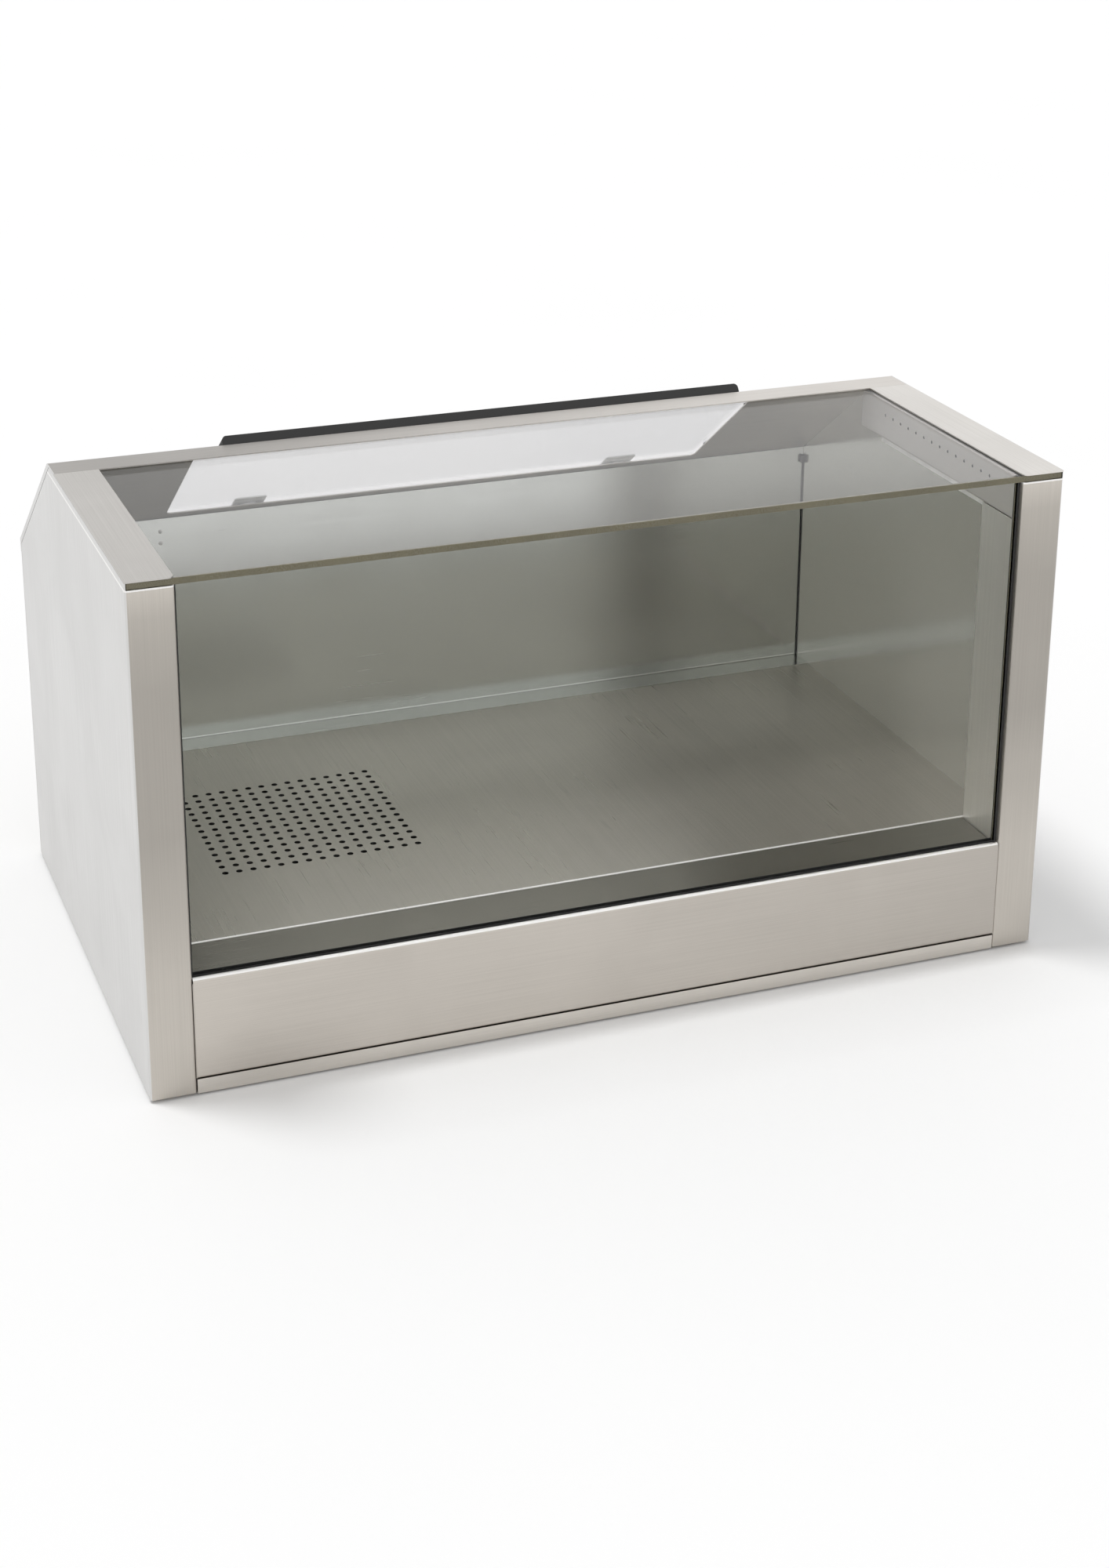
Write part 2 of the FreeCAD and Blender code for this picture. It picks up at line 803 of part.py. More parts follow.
def hinge_frame_leaves():
    """Fixed hinge leaves under the foot of the flap."""
    leaves = []
    for x in hinge_spans():
        x0, x1 = x - knuckle / 2, x + knuckle / 2
        barrel, bore = hinge_barrel(x0, x1, hinge_pin_radius)
        web = box(x0, x1, hinge_along - hinge_radius, hinge_along, 0, hinge_lift)
        plate = box(x0, x1, hinge_along - hinge_radius, hatch_start - seat_gap, 0, hinge_plate)
        leaves.append(tilt(fuse([barrel, web, plate]).cut(bore)))
    return Part.makeCompound(leaves)


def hinge_door_leaves():
    """Moving hinge leaves on the outside of the flap."""
    leaves = []
    top = door_lift + door_sheet
    for x in hinge_spans():
        solids = []
        bores = []
        for sign in (-1, 1):
            inner = x + sign * (knuckle / 2 + slide_gap)
            outer = inner + sign * side_knuckle
            x0, x1 = min(inner, outer), max(inner, outer)
            barrel, bore = hinge_barrel(x0, x1, hinge_pin_radius + run_gap)
            solids.append(barrel)
            bores.append(bore)
            solids.append(box(x0, x1, hinge_along, hinge_end, top, top + hinge_plate))
        reach = knuckle / 2 + slide_gap + side_knuckle
        plate_start = hinge_along + hinge_radius + slide_gap
        solids.append(box(x - reach, x + reach, plate_start, hinge_end, top, top + hinge_plate))
        leaf = fuse(solids)
        for bore in bores:
            leaf = leaf.cut(bore)
        leaves.append(tilt(leaf))
    return Part.makeCompound(leaves)


def hinge_pins():
    """Pins, tight in the fixed knuckles and free in the moving ones."""
    pins = []
    for x in hinge_spans():
        reach = knuckle / 2 + slide_gap + side_knuckle
        pins.append(tilt(cylinder(hinge_pin_radius, V(x - reach, hinge_along, hinge_lift),
                                  V(x + reach, hinge_along, hinge_lift))))
    return Part.makeCompound(pins)


def door_bumpers():
    """Rubber pads that the closed flap lies on."""
    pads = []
    radius = door_overlap / 2 - slide_gap
    for x in (-hatch_width / 2 - door_overlap / 2, hatch_width / 2 + door_overlap / 2):
        for s in bumper_spots:
            pads.append(tilt(flat_bar(radius, 8, V(x, s, 0), V(x, s, door_lift))))
    return Part.makeCompound(pads)


def scroll_solid(grow, z0, z1, lip):
    """Spiral casing: three quarter turns that open out, then a straight outlet."""
    centre = (blower_x, blower_y)
    right = blower_x + grow
    first = scroll_radius + grow
    begin = -math.acos(grow / first)
    outline = [(right, outlet_y - lip)]
    for quarter in range(3):
        radius = first + scroll_growth * quarter
        stop = math.pi / 2 * quarter
        for step in range(scroll_steps + 1):
            turn = begin + (stop - begin) * step / scroll_steps
            if step or not quarter:
                outline.append((centre[0] + radius * math.cos(turn), centre[1] + radius * math.sin(turn)))
        centre = (centre[0] - scroll_growth * math.cos(stop), centre[1] - scroll_growth * math.sin(stop))
        begin = stop
    outline.append((outline[-1][0], outlet_y - lip))
    return polygon_prism(outline, in_xy(z0), V(0, 0, z1 - z0))


def blower_housing():
    """Spiral casing with a round inlet in its lid."""
    top = pan_top + blower_height
    shell = scroll_solid(duct_sheet, pan_top, top, 0)
    shell = shell.cut(scroll_solid(0, pan_top + duct_sheet, top - duct_sheet, 1))
    eye = V(blower_x, blower_y, top)
    return shell.cut(flat_bar(inlet_radius, 20, eye - V(0, 0, 5), eye + V(0, 0, 5)))


def blower_wheel():
    """Forward-curved wheel: back disc, curved blades, shroud ring and hub."""
    z0 = wheel_base
    z1 = wheel_base + sheet
    z2 = z1 + wheel_rise
    z3 = z2 + sheet
    eye = V(blower_x, blower_y, 0)

    def level(z):
        return eye + V(0, 0, z)
    disc = flat_bar(wheel_radius, blade_count, level(z0), level(z1))
    ring = flat_bar(wheel_radius, blade_count, level(z2), level(z3))
    ring = ring.cut(flat_bar(wheel_inner, blade_count, level(z2 - 1), level(z3 + 1)))
    hub = flat_bar(shaft_radius * 3, 10, level(z0), level(z0 + hub_height))
    blades = [blade(eye, z1, z2, i * 2 * math.pi / blade_count) for i in range(blade_count)]
    wheel = fuse([disc, ring, hub] + blades)
    return wheel.cut(flat_bore(shaft_radius, bore_flats, level(z0 - 1), level(z0 + hub_height + 1)))


def blade(eye, z0, z1, angle):
    """One forward-curved blade between the wheel's eye and its rim."""
    sweep = 0.16
    inset = 1.2
    bow = 2.6
    r0 = wheel_inner + inset
    r1 = wheel_radius - inset
    middle = (r0 + r1) / 2
    thick = blade_sheet / middle
    curve = [(r0, 0.0), (middle, sweep / 2 - bow / middle), (r1, sweep)]
    outline = curve + [(radius, turn + thick) for radius, turn in curve[::-1]]
    points = [(eye.x + radius * math.cos(angle + turn), eye.y + radius * math.sin(angle + turn))
              for radius, turn in outline]
    return polygon_prism(points, in_xy(z0), V(0, 0, z1 - z0))


def blower_motor():
    """Flat motor on the floor of the casing, with a bearing boss."""
    eye = V(blower_x, blower_y, 0)
    z0 = pan_top + duct_sheet
    z1 = z0 + motor_height
    body = flat_bar(motor_radius, 12, eye + V(0, 0, z0), eye + V(0, 0, z1))
    boss = flat_bar(shaft_radius * 3, 10, eye + V(0, 0, z1), eye + V(0, 0, wheel_base - seat_gap))
    bore = flat_bore(shaft_radius + run_gap, bore_flats, eye + V(0, 0, shaft_foot - run_gap),
                     eye + V(0, 0, wheel_base))
    return fuse([body, boss]).cut(bore)


def motor_shaft():
    """Spindle that carries the wheel."""
    eye = V(blower_x, blower_y, 0)
    return cylinder(shaft_radius, eye + V(0, 0, shaft_foot), eye + V(0, 0, wheel_base + hub_height))


def heater_box():
    """Duct from the blower's outlet to the front plenum, holding the element."""
    x0, x1 = duct_left - duct_sheet, blower_x + duct_sheet
    y0, y1 = front + plenum_back, outlet_y
    z0, z1 = pan_top, pan_top + blower_height
    duct = box(x0, x1, y0, y1, z0, z1)
    duct = duct.cut(box(x0 + duct_sheet, x1 - duct_sheet, y0 - 1, y1 + 1, z0 + duct_sheet, z1 - duct_sheet))
    for z in element_heights:
        start, end = V(x0 - 1, element_y, z), V(x1 + 1, element_y, z)
        duct = duct.cut(flat_bar(element_radius + seat_gap, 6, start, end))
    return duct


def heater_element():
    """Two straight sheathed rods through a stack of fins."""
    overhang = 9.0
    x0, x1 = duct_left - duct_sheet - overhang, blower_x + duct_sheet + overhang
    rods = [flat_bar(element_radius, 6, V(x0, element_y, z), V(x1, element_y, z)) for z in element_heights]
    margin = 6.0
    half = 15.0
    pitch = (blower_x - duct_left) / (fin_count + 1)
    fins = [box(duct_left + pitch * (i + 1) - fin_sheet / 2, duct_left + pitch * (i + 1) + fin_sheet / 2,
                element_y - half, element_y + half, pan_top + margin, pan_top + blower_height - margin)
            for i in range(fin_count)]
    return fuse(rods + fins)


def front_plenum():
    """Cross duct under the sill that feeds both side columns."""
    reach = post_inner - seat_gap
    y0, y1 = front + plenum_front, front + plenum_back
    duct = box(-reach, reach, y0, y1, pan_top, plenum_top)
    duct = duct.cut(box(-side, side, y0 + duct_sheet, y1 - duct_sheet, pan_top + duct_sheet,
                        plenum_top - duct_sheet))
    return duct.cut(box(duct_left, blower_x, y1 - 5, y1 + 1, pan_top + duct_sheet,
                        pan_top + blower_height - duct_sheet))


def overheat_cutout():
    """Disc thermostat on the heater duct's lid."""
    z = pan_top + blower_height
    at = V((duct_left + blower_x) / 2, element_y, z)
    body = flat_bar(8.0, 12, at, at + V(0, 0, 7))
    flange = box(at.x - 14, at.x + 14, at.y - 5, at.y + 5, z, z + sheet)
    tabs = [box(at.x + d - 3, at.x + d + 3, at.y - 0.4, at.y + 0.4, z + 7, z + 14) for d in (-4, 4)]
    return fuse([flange, body] + tabs)


def control_bay():
    """Recessed box with the operator's controls, flanged behind the back panel."""
    wall = sheet
    y0 = back - bay_depth
    y1 = back - sheet
    shell = box(bay_left - wall, bay_right + wall, y0, y1, bay_bottom - wall, bay_top + wall)
    flange = box(bay_left - bay_flange, bay_right + bay_flange, y1 - wall, y1,
                 bay_bottom - bay_flange, bay_top + bay_flange)
    bay = fuse([shell, flange]).cut(box(bay_left, bay_right, y0 + wall, back, bay_bottom, bay_top))
    depth = V(0, y0 + 3, bay_middle)
    entry = V(0, y0 - 1, bay_middle)
    half_w = socket_width / 2 + inlet_cut
    half_h = socket_height / 2 + inlet_cut
    holes = [flat_bar(neck_radius + seat_gap, 10, entry + V(knob_x, 0, 0), depth + V(knob_x, 0, 0)),
             flat_bar(lamp_barrel + seat_gap, 10, entry + V(lamp_x, 0, 0), depth + V(lamp_x, 0, 0)),
             box(inlet_x - half_w, inlet_x + half_w, y0 - 1, y0 + 3,
                 bay_middle - half_h, bay_middle + half_h)]
    half_x, half_z = rocker_case()
    for x in rocker_positions:
        holes.append(box(x - half_x, x + half_x, y0 - 1, y0 + 3,
                         bay_middle - half_z, bay_middle + half_z))
    for hole in holes:
        bay = bay.cut(hole)
    return bay


def rocker_case():
    """Half width and half height of a switch body behind the panel."""
    return rocker_width / 2 + rocker_gap + switch_wall, rocker_half + rocker_gap + switch_wall


def rocker_body(x):
    """Switch housing with its bezel and a well for the rocker."""
    half_x, half_z = rocker_case()
    case = box(x - half_x + seat_gap, x + half_x - seat_gap, bay_face - switch_depth, bay_face,
               bay_middle - half_z + seat_gap, bay_middle + half_z - seat_gap)
    border = bezel_border - switch_wall
    bezel = box(x - half_x - border, x + half_x + border, bay_face, bay_face + bezel_sheet,
                bay_middle - half_z - border, bay_middle + half_z + border)
    reach = rocker_width / 2 + rocker_gap
    tall = rocker_half + rocker_gap
    cradle = box(x - reach, x + reach, rocker_pivot_y - rocker_root - rocker_well, bay_face + 2 * bezel_sheet,
                 bay_middle - tall, bay_middle + tall)
    pivot = flat_bore(rocker_pin + run_gap, bore_flats, V(x - reach - rocker_pin, rocker_pivot_y, bay_middle),
                      V(x + reach + rocker_pin, rocker_pivot_y, bay_middle))
    return fuse([case, bezel]).cut(cradle).cut(pivot)


def rocker(x):
    """Switch rocker, resting with its upper end pressed in."""
    half = rocker_width / 2
    axis_start = V(x - half, rocker_pivot_y, bay_middle)
    axis_end = V(x + half, rocker_pivot_y, bay_middle)
    valley = bay_face + bezel_sheet + rocker_rise - rocker_pivot_y
    dish = math.tan(math.radians(rocker_tilt)) * rocker_half
    upper = []
    for lift in (-rocker_root, -rocker_root / 2, 0.0, bezel_sheet / 2, valley + dish):
        upper.append((rocker_pivot_y + lift, math.sqrt(rocker_half ** 2 - lift ** 2)))
    section = [(y, bay_middle + z) for y, z in upper] + [(rocker_pivot_y + valley, bay_middle)]
    section += [(y, bay_middle - z) for y, z in upper[::-1]]
    cap = polygon_prism(section, in_yz(x - half), V(rocker_width, 0, 0))
    reach = rocker_gap + rocker_pin - slide_gap
    pin = cylinder(rocker_pin, axis_start - V(reach, 0, 0), axis_end + V(reach, 0, 0))
    whole = fuse([cap, pin])
    whole.rotate(V(x, rocker_pivot_y, bay_middle), V(1, 0, 0), rocker_tilt)
    return whole


def thermostat_body():
    """Thermostat behind the bay, with a neck for the spindle."""
    y1 = back - bay_depth
    half = thermostat_half
    body = box(knob_x - half, knob_x + half, y1 - thermostat_depth, y1 - seat_gap,
               bay_middle - half, bay_middle + half)
    neck_end = V(knob_x, knob_foot - slide_gap, bay_middle)
    neck = flat_bar(neck_radius, 10, V(knob_x, y1 - 1, bay_middle), neck_end)
    bore_end = y1 - spindle_depth - spindle_play
    bore = flat_bore(shaft_radius + run_gap, bore_flats, V(knob_x, bore_end, bay_middle),
                     V(knob_x, back, bay_middle))
    return fuse([body, neck]).cut(bore)


def thermostat_knob():
    """Knob with a raised grip bar across its face."""
    start = V(knob_x, knob_foot, bay_middle)
    skirt_end = start + V(0, skirt_height, 0)
    skirt = flat_bar(knob_radius, 20, start, skirt_end, knob_radius - skirt_taper)
    grip = knob_radius - knob_bar_setback

    def oblong(y, half_x, half_z):
        corners = ((-half_x, -half_z), (half_x, -half_z), (half_x, half_z), (-half_x, half_z))
        return [V(knob_x + dx, y, bay_middle + dz) for dx, dz in corners]
    bar = between(oblong(knob_foot, knob_bar_foot, grip),
                  oblong(knob_foot + knob_height, knob_bar_top, grip - knob_bar_taper))
    knob = fuse([skirt, bar])
    return knob.cut(flat_bore(shaft_radius, bore_flats, start - V(0, 1, 0), start + V(0, spindle_grip, 0)))


def thermostat_spindle():
    """Spindle fixed in the knob and free in the thermostat's neck."""
    foot = back - bay_depth - spindle_depth
    tip = knob_foot + spindle_grip
    return cylinder(shaft_radius, V(knob_x, foot, bay_middle), V(knob_x, tip, bay_middle))


def pilot_lamp():
    """Round lamp with a domed cap."""
    seat = V(lamp_x, bay_face, bay_middle)
    lip = seat + V(0, lamp_flange, 0)
    barrel = flat_bar(lamp_barrel, 10, seat - V(0, lamp_depth, 0), seat)
    flange = flat_bar(lamp_radius + lamp_flange, 16, seat, lip)
    cap = flat_bar(lamp_radius, 16, lip, lip + V(0, lamp_cap, 0), lamp_radius - lamp_taper)
    return fuse([barrel, flange, cap])


def power_inlet():
    """Appliance inlet: flange, socket and three contacts."""
    half_w = socket_width / 2
    half_h = socket_height / 2
    show = bay_face + inlet_flange
    flange = box(inlet_x - half_w - inlet_border, inlet_x + half_w + inlet_border, bay_face, show,
                 bay_middle - half_h - inlet_border, bay_middle + half_h + inlet_border)
    case = box(inlet_x - half_w - inlet_wall, inlet_x + half_w + inlet_wall,
               bay_face - socket_depth - inlet_floor, bay_face,
               bay_middle - half_h - inlet_wall, bay_middle + half_h + inlet_wall)
    corner = inlet_corner
    left, right = inlet_x - half_w, inlet_x + half_w
    low, high = bay_middle - half_h, bay_middle + half_h
    mouth = [(left, low), (right, low), (right, high - corner), (right - corner, high),
             (left + corner, high), (left, high - corner)]
    socket = polygon_prism(mouth, in_xz(show - socket_depth), V(0, socket_depth + 1, 0))
    spots = ((-contact_spread, -contact_drop), (contact_spread, -contact_drop), (0, contact_rise))
    contacts = [box(inlet_x + dx - contact_half_width, inlet_x + dx + contact_half_width,
                    bay_face - socket_depth, bay_face - contact_setback,
                    bay_middle + dz - contact_half_height, bay_middle + dz + contact_half_height)
                for dx, dz in spots]
    return fuse([flange, case]).cut(socket).multiFuse(contacts).removeSplitter()


def terminal_block():
    """Row of screw terminals on the base pan."""
    x0 = inlet_x + terminal_offset
    y0 = back - bay_depth - terminal_setback
    top = pan_top + terminal_height
    body = box(x0, x0 + terminal_ways * terminal_pitch, y0, y0 + terminal_depth, pan_top, top)
    for i in range(terminal_ways):
        x = x0 + terminal_pitch * (i + 0.5)
        body = body.cut(box(x - terminal_well / 2, x + terminal_well / 2, y0 + terminal_rim,
                            y0 + terminal_depth - terminal_rim, pan_top + terminal_floor, top + 1))
    return body


def light_bar():
    """Lamp channel under one side duct."""
    x0 = -bar_centre - bar_width / 2
    y0, y1 = front + bar_start, front + bar_end
    path = [(x0, duct_bottom - bar_height), (x0, duct_bottom), (x0 + bar_width, duct_bottom),
            (x0 + bar_width, duct_bottom - bar_height)]
    return bent_sheet(path, sheet, -1, [0] * 2, in_xz(y0), V(0, y1 - y0, 0))


def light_lens():
    """Milky cover pressed into the lamp channel."""
    half = bar_width / 2 - sheet
    y0, y1 = front + bar_start, front + bar_end
    z0 = duct_bottom - bar_height
    return box(-bar_centre - half, -bar_centre + half, y0, y1, z0, z0 + lens_height)


def temperature_probe():
    """Sensing line of the thermostat, up the rear corner, with its bulb at the top."""
    x = liner_face - probe_inset
    y = back_face - probe_inset
    foot = V(x, y, deck_height + liner_sheet)
    neck = V(x, y, probe_top - bulb_length)
    line = flat_bar(probe_radius, 8, foot, neck)
    bulb = flat_bar(bulb_radius, 10, neck, V(x, y, probe_top))
    clip = box(x - bulb_radius, x + bulb_radius, y, back_face, neck.z - bulb_radius, neck.z)
    return fuse([line, bulb, clip])


def rubber_feet():
    """Push-in feet under the side flanges."""
    feet = []
    for sign in (-1, 1):
        for y in (front + foot_inset, back - foot_inset):
            x = sign * foot_x
            pad = flat_bar(foot_radius - 1, 10, V(x, y, 0), V(x, y, foot_height), foot_radius)
            stem = flat_bar(stem_radius, 6, V(x, y, foot_height), V(x, y, foot_height + stem_length))
            feet.append(fuse([pad, stem]))
    return Part.makeCompound(feet)


def main():
    """Build every piece and write one file for each."""
    pieces = {}
    pairs = {"side_panel": side_panel, "top_band": top_band, "duct_valance": duct_valance,
             "side_liner": side_liner, "deck_rail": deck_rail, "tray_runner": tray_runner,
             "light_bar": light_bar, "light_lens": light_lens}
    for name, make in pairs.items():
        pieces["left_" + name], pieces["right_" + name] = both_sides(make())
    singles = [rear_hood, back_panel, back_liner, deck, front_ledge, base_pan, base_side_strip,
               base_crossbars, front_fascia, glass_channel, front_glass, glass_gasket, top_glass,
               glass_rest, kernel_tray, kernel_chute, rear_door, door_grip, hinge_frame_leaves,
               hinge_door_leaves, hinge_pins, door_bumpers, blower_housing, blower_wheel, blower_motor,
               motor_shaft, heater_box, heater_element, front_plenum, overheat_cutout, control_bay,
               thermostat_body, thermostat_knob, thermostat_spindle, pilot_lamp, power_inlet,
               terminal_block, temperature_probe, rubber_feet]
    for make in singles:
        pieces[make.__name__] = make()
    for name, x in zip(("power", "light"), rocker_positions):
        pieces[name + "_switch_body"] = rocker_body(x)
        pieces[name + "_rocker"] = rocker(x)
    os.makedirs("parts", exist_ok=True)
    for name, shape in pieces.items():
        count = len(shape.Solids)
        print(name, count, "valid" if shape.isValid() else "INVALID", round(shape.Volume))
        shape.exportStep("parts/" + name + ".step")


main()
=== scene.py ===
"""Looks of the countertop popcorn warmer: finishes, glass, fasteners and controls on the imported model."""

import logging
import math
from contextlib import contextmanager
from dataclasses import dataclass, field
from enum import Enum
from functools import cache
from typing import Callable, ClassVar, Iterator, Sequence

import bmesh
import bpy
from mathutils import Matrix, Vector


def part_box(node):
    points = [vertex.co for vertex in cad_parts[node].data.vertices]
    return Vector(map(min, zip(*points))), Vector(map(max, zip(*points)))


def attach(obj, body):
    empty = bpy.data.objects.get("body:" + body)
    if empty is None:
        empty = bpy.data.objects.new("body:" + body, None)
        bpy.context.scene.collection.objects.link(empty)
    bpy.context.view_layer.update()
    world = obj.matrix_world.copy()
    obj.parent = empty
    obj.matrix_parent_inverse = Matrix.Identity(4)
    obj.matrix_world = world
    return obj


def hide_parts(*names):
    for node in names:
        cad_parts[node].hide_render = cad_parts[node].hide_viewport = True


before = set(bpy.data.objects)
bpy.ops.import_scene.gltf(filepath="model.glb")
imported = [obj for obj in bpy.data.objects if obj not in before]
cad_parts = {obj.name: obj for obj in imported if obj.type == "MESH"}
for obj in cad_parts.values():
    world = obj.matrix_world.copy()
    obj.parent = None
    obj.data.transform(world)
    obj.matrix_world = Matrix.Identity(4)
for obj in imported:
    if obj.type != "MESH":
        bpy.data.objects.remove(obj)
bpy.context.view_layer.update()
log = logging.getLogger("warmer")

Colour = tuple[float, float, float]
Point = tuple[float, float, float]
Pair = tuple[float, float]
Steps = Sequence[Pair]
# Width of a rounding and the number of its facets.
Round = tuple[float, int]
Test = Callable[[object], bool]
Piece = bpy.types.Object
Node = bpy.types.Node
Tree = bpy.types.NodeTree
Socket = bpy.types.NodeSocket
Material = bpy.types.Material

CABINET = "cabinet"
# A millimetre, and how near to each other two places count as one.
MM = 0.001
TINY = 1e-5
# Range in which soft noise mostly lies.
NOISE: Pair = (0.3, 0.7)
# How many sheets deep a cutting tool reaches.
THROUGH = 3
# Share of a face's direction that lies on an axis: under STEEP the face stands across the axis,
# and over FLAT it looks along it.
STEEP = 0.5
FLAT = 0.99
X: Point = (1.0, 0.0, 0.0)
Y: Point = (0.0, 1.0, 0.0)
Z: Point = (0.0, 0.0, 1.0)
DOWN: Point = (0.0, 0.0, -1.0)
# Turn that lays a piece modelled upright onto a face that looks backwards.
BACKWARDS = Matrix.Rotation(math.radians(-90), 4, "X")
# Face of the control bay, and the height of what is in it.
BAY_FACE = 0.2432
BAY_MIDDLE = 0.065


class Pick(Enum):
    """What a selection in edit mode is made of."""

    FACES = "FACE"
    EDGES = "EDGE"


class Grain(Enum):
    """Direction in which a sheet was brushed, as how tightly the pattern packs along X, Y and Z."""

    ACROSS = (5.0, 900.0, 900.0)
    DEPTH = (900.0, 5.0, 900.0)
    UPRIGHT = (900.0, 900.0, 5.0)


# Modelling bench


def clear_selection() -> None:
    """Leaves nothing selected."""
    for obj in bpy.context.selected_objects:
        obj.select_set(False)


def hold(piece: Piece) -> None:
    """Makes one piece the only selected and active one."""
    clear_selection()
    piece.select_set(True)
    bpy.context.view_layer.objects.active = piece


def set_down(piece: Piece) -> Piece:
    """Puts a piece's place, turn and size into its mesh and returns it."""
    hold(piece)
    bpy.ops.object.transform_apply(location=True, rotation=True, scale=True)
    return piece


def block(name: str, low: Point, high: Point) -> Piece:
    """Adds a block between two corners.

    Args:
        name: Name of the piece.
        low: Lowest corner in metres.
        high: Highest corner in metres.

    Returns:
        The new piece, with its place in its mesh.
    """
    lowest, highest = Vector(low), Vector(high)
    clear_selection()
    bpy.ops.mesh.primitive_cube_add(size=1.0, location=(lowest + highest) / 2)
    piece = bpy.context.object
    piece.name = name
    piece.scale = highest - lowest
    return set_down(piece)


@contextmanager
def editing(piece: Piece) -> Iterator[None]:
    """Edit mode on one piece, with nothing selected in it at first."""
    hold(piece)
    bpy.ops.object.mode_set(mode="EDIT")
    bpy.ops.mesh.select_all(action="DESELECT")
    yield
    bpy.ops.object.mode_set(mode="OBJECT")


def pick(piece: Piece, kind: Pick, test: Test) -> None:
    """Selects the faces or edges of a piece in edit mode that pass a test.

    Args:
        piece: Piece that is being edited.
        kind: What to select.
        test: Says whether one of them is wanted.
    """
    bpy.ops.mesh.select_mode(type=kind.value)
    bpy.ops.mesh.select_all(action="DESELECT")
    mesh = bmesh.from_edit_mesh(piece.data)
    for part in mesh.faces if kind is Pick.FACES else mesh.edges:
        if test(part):
            part.select_set(True)
    mesh.select_flush_mode()
    bmesh.update_edit_mesh(piece.data)


def facing(axis: Point, least: float = 0.9) -> Test:
    """Gives a test for faces that look along an axis."""
    return lambda face: face.normal.dot(Vector(axis)) > least


def running(axis: Point, least: float = 0.999) -> Test:
    """Gives a test for edges that run along an axis."""
    way = Vector(axis)
    return lambda edge: abs((edge.verts[1].co - edge.verts[0].co).normalized().dot(way)) > least


def rim(way: Point, side: Point, reach: float) -> Test:
    """Gives a test for edges that run one way and lie at the outer end of a piece.

    Args:
        way: Direction of the edges.
        side: Direction in which that end lies.
        reach: How far out it lies, in metres.

    Returns:
        The test.
    """
    along, out = running(way), Vector(side)
    return lambda edge: along(edge) and edge.verts[0].co.dot(out) > reach - TINY


def round_edges(piece: Piece, test: Test, width: float, steps: int = 3) -> None:
    """Rounds the edges of a piece that pass a test.

    Args:
        piece: Piece to work on, out of edit mode.
        test: Says whether an edge is wanted.
        width: How far the rounding reaches, in metres.
        steps: Number of facets in it.
    """
    with editing(piece):
        pick(piece, Pick.EDGES, test)
        bpy.ops.mesh.bevel(offset=width, segments=steps, profile=0.5, affect="EDGES")


def smooth(piece: Piece, angle: float = 32.0) -> None:
    """Shades the curved faces of a piece as smooth, up to an angle in degrees."""
    hold(piece)
    bpy.ops.object.shade_smooth_by_angle(angle=math.radians(angle))
    step = piece.modifiers.new("even", "WEIGHTED_NORMAL")
    step.keep_sharp = True
    bpy.ops.object.modifier_apply(modifier=step.name)


def combine(piece: Piece, other: Piece, operation: str) -> None:
    """Changes a piece by another one and removes the other one.

    Args:
        piece: Piece that stays.
        other: Piece that is used up.
        operation: DIFFERENCE or UNION.
    """
    hold(piece)
    step = piece.modifiers.new("combine", "BOOLEAN")
    step.operation = operation
    step.solver = "EXACT"
    step.object = other
    bpy.ops.object.modifier_apply(modifier=step.name)
    bpy.data.objects.remove(other)


def cut(piece: Piece, tool: Piece) -> None:
    """Cuts a tool out of a piece."""
    combine(piece, tool, "DIFFERENCE")


def fuse(piece: Piece, other: Piece) -> None:
    """Joins another piece onto a piece for good."""
    combine(piece, other, "UNION")


def weld(piece: Piece, reach: float = 0.01 * MM) -> None:
    """Merges corners that lie on each other and removes faces without area."""
    with editing(piece):
        bpy.ops.mesh.select_all(action="SELECT")
        bpy.ops.mesh.remove_doubles(threshold=reach)
        bpy.ops.mesh.dissolve_degenerate(threshold=reach)


def turn_down(piece: Piece, at: float, rear: bool, depth: float) -> None:
    """Draws the underside of a flat piece down on one side of a line across it.

    Args:
        piece: Flat piece to work on, out of edit mode.
        at: Place of the line along Y.
        rear: Whether the side behind the line goes down, or else the side in front of it.
        depth: How far it goes down.
    """
    downwards = facing(DOWN)
    with editing(piece):
        bpy.ops.mesh.select_all(action="SELECT")
        bpy.ops.mesh.bisect(plane_co=(0, at, 0), plane_no=Y)
        pick(piece, Pick.FACES, lambda face: downwards(face) and (face.calc_center_median().y > at) == rear)
        bpy.ops.mesh.extrude_region_move(TRANSFORM_OT_translate={"value": (0, 0, -depth)})


def face_out(piece: Piece) -> None:
    """Turns all faces of a piece outwards and shades them."""
    with editing(piece):
        bpy.ops.mesh.select_all(action="SELECT")
        bpy.ops.mesh.normals_make_consistent(inside=False)
    smooth(piece)


def millimetres(steps: Steps) -> Steps:
    """Gives pairs that were written in millimetres, in metres."""
    return [(first * MM, second * MM) for first, second in steps]


def repeat(piece: Piece, count: int, offset: Point) -> None:
    """Repeats a piece in a row inside its own mesh."""
    hold(piece)
    step = piece.modifiers.new("row", "ARRAY")
    step.count = count
    step.use_relative_offset = False
    step.use_constant_offset = True
    step.constant_offset_displace = offset
    bpy.ops.object.modifier_apply(modifier=step.name)


